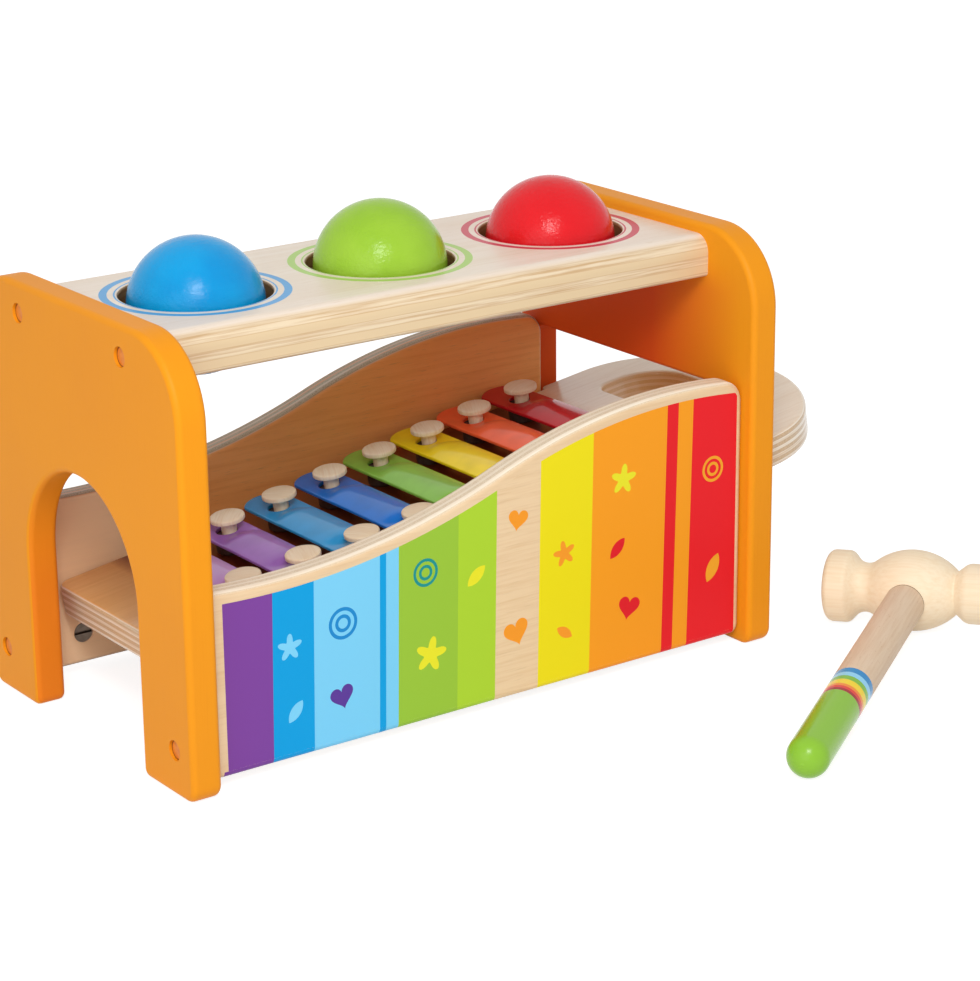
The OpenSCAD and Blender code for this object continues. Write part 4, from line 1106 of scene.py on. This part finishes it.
def ringed_plywood():
    made = plywood("birch plywood, top board", TOP_TONES, (0, 0, top_low.z), (0, 0, 0),
                   (top_high.z - top_low.z) / TOP_PLIES, 0.42, coat=0.15, streak=0.4, ends_share=0)
    tree = made.node_tree
    shader = next(n for n in tree.nodes if n.type == "BSDF_PRINCIPLED")
    wood = shader.inputs["Base Color"].links[0].from_socket
    place = add(tree, "ShaderNodeTexCoord").outputs["Object"]
    flat = add(tree, "ShaderNodeVectorMath", place, (1, 1, 0), operation="MULTIPLY")
    colour = wood
    for (name, _, _), code in zip(BALLS, RING_INKS):
        low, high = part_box(name + "_ball")
        centre = (low + high) / 2
        away = add(tree, "ShaderNodeVectorMath", flat, (centre.x, centre.y, 0), operation="DISTANCE")
        # painted shade: the wood in and round each bore is darkened
        bore_painted_shade = add(tree, "LESS_THAN", away, BORE_SHADE * MM)
        wood = add(tree, MIX, bore_painted_shade, wood, "#A88A6C", blend_type="MULTIPLY")
        for inner, outer in RING_BANDS:
            middle, half = (inner + outer) / 2 * MM, (outer - inner) / 2 * MM
            band = add(tree, "ABSOLUTE", add(tree, "SUBTRACT", away, middle))
            band = add(tree, "LESS_THAN", band, half)
            colour = add(tree, MIX, band, colour, code)
    facing = add(tree, "ShaderNodeTexCoord").outputs["Normal"]
    on_top = add(tree, "ShaderNodeSeparateXYZ", facing).outputs["Z"]
    colour = add(tree, MIX, add(tree, "GREATER_THAN", on_top, 0.9), wood, colour)
    feed(shader.inputs["Base Color"], colour)
    return made


def dress(finish, *names):
    """Gives CAD nodes a finish."""
    for name in names:
        nodes[name].data.materials.clear()
        nodes[name].data.materials.append(finish)


dress(ringed_plywood(), "top_board")
dress(ORANGE, "left_end_panel", "right_end_panel")
print("top board:", round((top_high.z - top_low.z) / MM, 2), "mm thick")

# %% [markdown]
# ## Rails, fittings and rubber
# The rails, dowels, bolts, barrel nuts and rubber rings are seen through gaps or not at all. Each still gets
# the finish that it has: planed pine, zinc plating, matt rubber. The plugs are painted with the panels.


# %% Small finishes
PLUG_SHADE_RING = 0.3


def planed_wood(name, pale, dark):
    made, tree, shader, place = finish_of(name)
    grain = grains(tree, place, 1.2 * MM, 3, stretch=(20, 1, 1), rough=0.6)
    colour = stain(tree, pale, dark, grain, 0.4, 0.7)
    settle(shader, grain, 0.04 * MM, 0.6, Base_Color=colour, Roughness=0.6)
    return made


def zinc_plate():
    made, tree, shader, place = finish_of("zinc-plated steel")
    cloud = grains(tree, place, 2 * MM, 3)
    colour = add(tree, MIX, cloud, "#7E7064", "#54483E")
    settle(shader, grains(tree, place, 0.4 * MM, 2), 0.01 * MM, 0.5, Base_Color=colour, Metallic=1.0,
           Roughness=0.45)
    return made


def soft_rubber(name, code):
    made, tree, shader, place = finish_of(name)
    bloom = grains(tree, place, 4 * MM, 3)
    colour = stain(tree, code, "#7A706A", bloom, 0.4, 0.7, 0.3)
    settle(shader, grains(tree, place, 0.3 * MM, 2), 0.02 * MM, 0.6, Base_Color=colour, Roughness=0.72)
    return made


def plug_paint():
    """Filler under paint, with a thin dark ring round each plug, painted as the shade at the edge of its
    recess.
    The rings lie in mirrored places, so the material folds the bench over its middle and measures from one
    high and one low axis."""
    made, tree, shader, place = finish_of("painted wood filler, orange")
    skin = grains(tree, place, 1.4 * MM, 3)
    colour = stain(tree, "#E6861F", "#D9771A", skin, 0.4, 0.7)
    x, y, z = add(tree, "ShaderNodeSeparateXYZ", place).outputs
    low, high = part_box("left_plugs")
    points = [v.co for v in nodes["left_plugs"].data.vertices if v.co.y > 0]
    folded = add(tree, "ShaderNodeCombineXYZ", add(tree, "ABSOLUTE", y), z)
    ring_shade = 0.0
    for upper in (True, False):
        own = [p for p in points if (p.z > (low.z + high.z) / 2) == upper]
        (left, right), (foot, top) = ((min(c), max(c)) for c in ([p.y for p in own], [p.z for p in own]))
        away = add(tree, "ShaderNodeVectorMath", folded, ((left + right) / 2, (foot + top) / 2, 0),
                   operation="DISTANCE")
        radius = (right - left) / 2
        near = add(tree, "LESS_THAN", away, radius + PLUG_SHADE_RING * MM)
        ring = add(tree, "MULTIPLY", near, add(tree, RANGE, away, radius - 2 * PLUG_SHADE_RING * MM,
                                               radius - PLUG_SHADE_RING * MM))
        ring_shade = add(tree, "MAXIMUM", ring_shade, ring)
    # painted shade: a thin dark ring at each plug's edge
    colour = add(tree, MIX, ring_shade, colour, "#8E4A12")
    settle(shader, skin, 0.08 * MM, 0.8, Base_Color=colour, Roughness=0.45)
    return made


dress(planed_wood("planed pine", "#DDC195", "#C39C68"), "front_runner_rail", "back_runner_rail")
dress(planed_wood("compressed beech dowel", "#E2C8A0", "#C8A070"), "left_dowels", "right_dowels")
dress(zinc_plate(), "left_bolts", "right_bolts", "left_barrel_nuts", "right_barrel_nuts")
dress(plug_paint(), "left_plugs", "right_plugs")
dress(soft_rubber("black rubber", "#343436"), "blue_ball_ring", "green_ball_ring", "red_ball_ring")
dress(soft_rubber("brown rubber", "#4A2E20"), "front_spacers", "back_spacers")

# %% [markdown]
# ## The hammer
# The head is maple, turned in one piece and oiled. The handle is a beech dowel: seven painted bands lie in
# a row before a dipped green end. Both finishes work in the hammer's own frame, along the head or along the
# handle, so the bands stay square to the dowel however the hammer lies.

# %% Hammer frame
HEAD_LENGTH, BULGE, BARREL, STRIKER, EDGE = 61.4, 14.45, 22.0, 12.9, 2.5
HANDLE_RADIUS, HANDLE_LENGTH = 7.1, 139.3
HAMMER_TURN, HAMMER_RIGHT, HAMMER_FRONT = math.radians(122.65), 47.7, 21.3
bench_low, bench_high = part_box("right_end_panel")
drop = BARREL - BULGE
rim_reach, rim_arm = HEAD_LENGTH / 2 - EDGE, STRIKER - EDGE + drop
head_dip = math.asin((BARREL - EDGE) / math.hypot(rim_reach, rim_arm)) - math.atan2(rim_arm, rim_reach)
head_height = BARREL - drop * math.cos(head_dip)
handle_dip = math.asin((head_height - HANDLE_RADIUS) / HANDLE_LENGTH / math.cos(head_dip))
HAMMER_AT = Vector((bench_high.x + HAMMER_RIGHT * MM, bench_low.y - HAMMER_FRONT * MM, head_height * MM))
HAMMER_EULER = (-handle_dip, head_dip, HAMMER_TURN)
ON_HAMMER = Matrix.Translation(HAMMER_AT) @ Euler(HAMMER_EULER).to_matrix().to_4x4()
print("hammer: head and handle dip by", [round(math.degrees(a), 2) for a in (head_dip, handle_dip)])


def half_head(neck, fillet, slope, shoulder, radius, length):
    """One half of the head's profile as (radius, height) pairs, from beside the middle out to the face."""
    past_axis = drop + neck + fillet
    fillet_height = math.sqrt((BARREL + fillet) ** 2 - past_axis**2)
    meet = math.atan2(fillet_height, past_axis)
    steps = [meet * k / 14 for k in range(1, 14)]
    profile = [(BARREL * math.cos(a) - drop, BARREL * math.sin(a)) for a in steps]
    profile += arc((neck + fillet, fillet_height), fillet, math.degrees(meet) - 180, -180, 8)
    end = HEAD_LENGTH / 2
    corners = [(0, 0), (neck, 0), (neck, end - length - slope), (radius, end - length), (radius, end),
               (0, end)]
    rounded = traced(corners, [0.01, 0.01, fillet, shoulder, EDGE, 0.01], 0.02)
    profile += [(p.x, p.y) for p, _ in rounded if p.y > fillet_height + 0.01 and 0.02 < p.x < radius + 0.001]
    return profile + [(0, end)]


far = half_head(8.8, 5.0, 3.6, 2.5, STRIKER, 8.2)
near = half_head(7.8, 0.4, 3.5, 4.3, 10.7, 11.0)
head_mesh = turned_piece("turned_head", [(r, -h) for r, h in reversed(near)] + [(BULGE, 0)] + far, 128)
head_mesh.transform(ON_HAMMER @ Matrix.Rotation(math.pi / 2, 4, "Y"))
head = placed("turned_head", head_mesh)

# %% [markdown]
# The bands are a colour ramp along the handle. Where the handle enters the head, a thin dark line is painted
# as the shade of the gap round the handle. The head's surface there is known, so the line follows its saddle.

# %% Hammer finishes
BANDS = (
    (85.4, "#1A86C4"), (88.8, "#8FD0F0"), (91.6, "#7DB832"), (94.4, "#F4D41C"), (98.0, "#F08A28"),
    (100.0, "#E0382A"), (101.6, "#A01C22"), (103.4, "#89BC34"),
)
UNPAINTED, GAP_SHADE_WIDTH = [0.7, 0.5, 0.35, 0], 0.4


def turned_maple():
    made, tree, shader, own = finish_of("turned maple, oiled", HAMMER_AT, HAMMER_EULER)
    grain = grains(tree, own, 1.1 * MM, 3, stretch=(20, 1, 1), rough=0.55)
    rings = grains(tree, own, 0.6 * MM, 2, stretch=(1, 30, 30))
    colour = stain(tree, "#F6E3C5", "#F0D8B4", grain, 0.4, 0.75)
    relief = add(tree, "ADD", grain, add(tree, "MULTIPLY", rings, 0.4))
    settle(shader, relief, 0.015 * MM, 0.4, Base_Color=colour, Roughness=0.5, Specular_IOR_Level=0.3)
    return made


def banded_beech():
    made, tree, shader, own = finish_of("beech dowel with painted bands and a dipped end", HAMMER_AT,
                                        HAMMER_EULER)
    across, along, aside = add(tree, "ShaderNodeSeparateXYZ", own).outputs
    grain = grains(tree, own, 0.9 * MM, 3, stretch=(1, 22, 1), rough=0.6)
    flecks = grains(tree, own, 0.4 * MM, 1, stretch=(1, 5, 1))
    wood = stain(tree, "#E0C7AC", "#D2B190", grain, 0.4, 0.75, 0.7)
    wood = stain(tree, wood, "#B98E66", flecks, 0.68, 0.75, 0.4)
    across_2, along_2, aside_2 = (add(tree, "MULTIPLY", a, a) for a in (across, along, aside))
    from_axis = add(tree, "SQRT", add(tree, "ADD", along_2, aside_2))
    surface = add(tree, "SQRT", add(tree, "SUBTRACT", (BARREL * MM) ** 2, across_2))
    gap = add(tree, "ADD", add(tree, "SUBTRACT", from_axis, surface), drop * MM)
    # painted shade: a thin dark line where the handle enters the head
    wood = add(tree, MIX, add(tree, "LESS_THAN", gap, GAP_SHADE_WIDTH * MM), wood, "#7A5A3C")
    end = (HANDLE_LENGTH + HANDLE_RADIUS) * MM
    steps = [(0, UNPAINTED)] + [(at * MM / end, paint(code)) for at, code in BANDS]
    ink, inked = colour_steps(tree, add(tree, RANGE, along, 0.0, end), steps)
    colour = add(tree, MIX, inked, wood, ink)
    gloss = add(tree, RANGE, inked, 0, 1, 0.55, 0.2)
    settle(shader, grain, 0.012 * MM, 0.3, Base_Color=colour, Roughness=gloss, Specular_IOR_Level=0.25)
    return made


head_mesh.materials.append(turned_maple())
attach(head, "hammer")
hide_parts("hammer_head")
dress(banded_beech(), "hammer_handle")
print("finishes:", len(bpy.data.materials))

# %% [markdown]
# ## Floor and light
# One square soft lamp with a hot core stands high over the camera, and an even world fills the shadows, so a
# colour renders about as it is written and each ball carries one small bright patch. A large, weak lamp at
# the left lights the panel with the arch, and reaches through it onto the back panel. The floor looks white
# to the camera and in reflections, and keeps the object's shadow. To all other rays it is plain matt paper.


# %% Studio
def seen_rays(tree):
    """1 for camera, glossy and transmission rays, else 0."""
    rays = add(tree, "ShaderNodeLightPath").outputs
    seen = add(tree, "MAXIMUM", rays["Is Camera Ray"], rays["Is Glossy Ray"])
    return add(tree, "MAXIMUM", seen, rays["Is Transmission Ray"])


def studio_floor():
    mesh = bpy.data.meshes.new("floor")
    corners = ((-1, -1), (1, -1), (1, 1), (-1, 1))
    mesh.from_pydata([(x * FLOOR_HALF, y * FLOOR_HALF, 0) for x, y in corners], [], [(0, 1, 2, 3)])
    floor = placed("floor", mesh)
    made, tree, shader, _ = finish_of("white studio floor")
    seen = seen_rays(tree)
    colour = add(tree, MIX, seen, (PAPER, PAPER, PAPER, 1), (SHADED, SHADED, SHADED, 1))
    feed(shader.inputs["Base Color"], colour)
    feed(shader.inputs["Emission Strength"], add(tree, RANGE, seen, 0.0, 1.0, 0.0, FLOOR_GLOW))
    shader.inputs["Emission Color"].default_value = (1, 1, 1, 1)
    shader.inputs["Roughness"].default_value = 1.0
    shader.inputs["Specular IOR Level"].default_value = 0.0
    mesh.materials.append(made)


def studio_world():
    world = bpy.data.worlds.new("studio")
    scene.world = world
    world.use_nodes = True
    tree = world.node_tree
    background = next(n for n in tree.nodes if n.type == "BACKGROUND")
    background.inputs["Color"].default_value = (1, 1, 1, 1)
    feed(background.inputs["Strength"], add(tree, RANGE, seen_rays(tree), 0.0, 1.0, FILL, 1.0))


def soft_lamp(name, at, aim, size, power):
    data = bpy.data.lights.new(name, "AREA")
    data.shape, data.size, data.energy = "SQUARE", size, power
    lamp = placed(name, data)
    lamp.location = at
    lamp.rotation_euler = (aim - at).to_track_quat("-Z", "Y").to_euler()


FLOOR_HALF, PAPER, SHADED, FLOOR_GLOW, FILL = 3.0, 0.86, 0.42, 0.84, 0.5
KEY_HEIGHT, KEY_DISTANCE, KEY_SIZE, KEY_POWER = math.radians(41), 1.1, 0.6, 3.1
CORE_AHEAD, CORE_SIZE, CORE_POWER = 0.01, 0.28, 3.6
SIDE_FROM, SIDE_SIZE, SIDE_POWER = Vector((-1.15, -0.75, 0.32)), 1.1, 4.2
studio_floor()
studio_world()
middle = (Vector(cad_box[0]) + Vector(cad_box[1])) / 2
level = Vector((forward.x, forward.y, 0)).normalized()
to_key = Vector((0, 0, math.sin(KEY_HEIGHT))) - level * math.cos(KEY_HEIGHT)
soft_lamp("key", middle + to_key * KEY_DISTANCE, middle, KEY_SIZE, KEY_POWER)
soft_lamp("key_core", middle + to_key * (KEY_DISTANCE - CORE_AHEAD), middle, CORE_SIZE, CORE_POWER)
soft_lamp("side", middle + SIDE_FROM, middle, SIDE_SIZE, SIDE_POWER)
print("key lamp at", [round(c, 2) for c in middle + to_key * KEY_DISTANCE])

# %% [markdown]
# ## Sizes, and the end
# The dressed object has to stay inside the frame's box, so the frame's box is printed.

# %% Finish
print("frame box:", [round(c, 4) for v in cad_box for c in v])
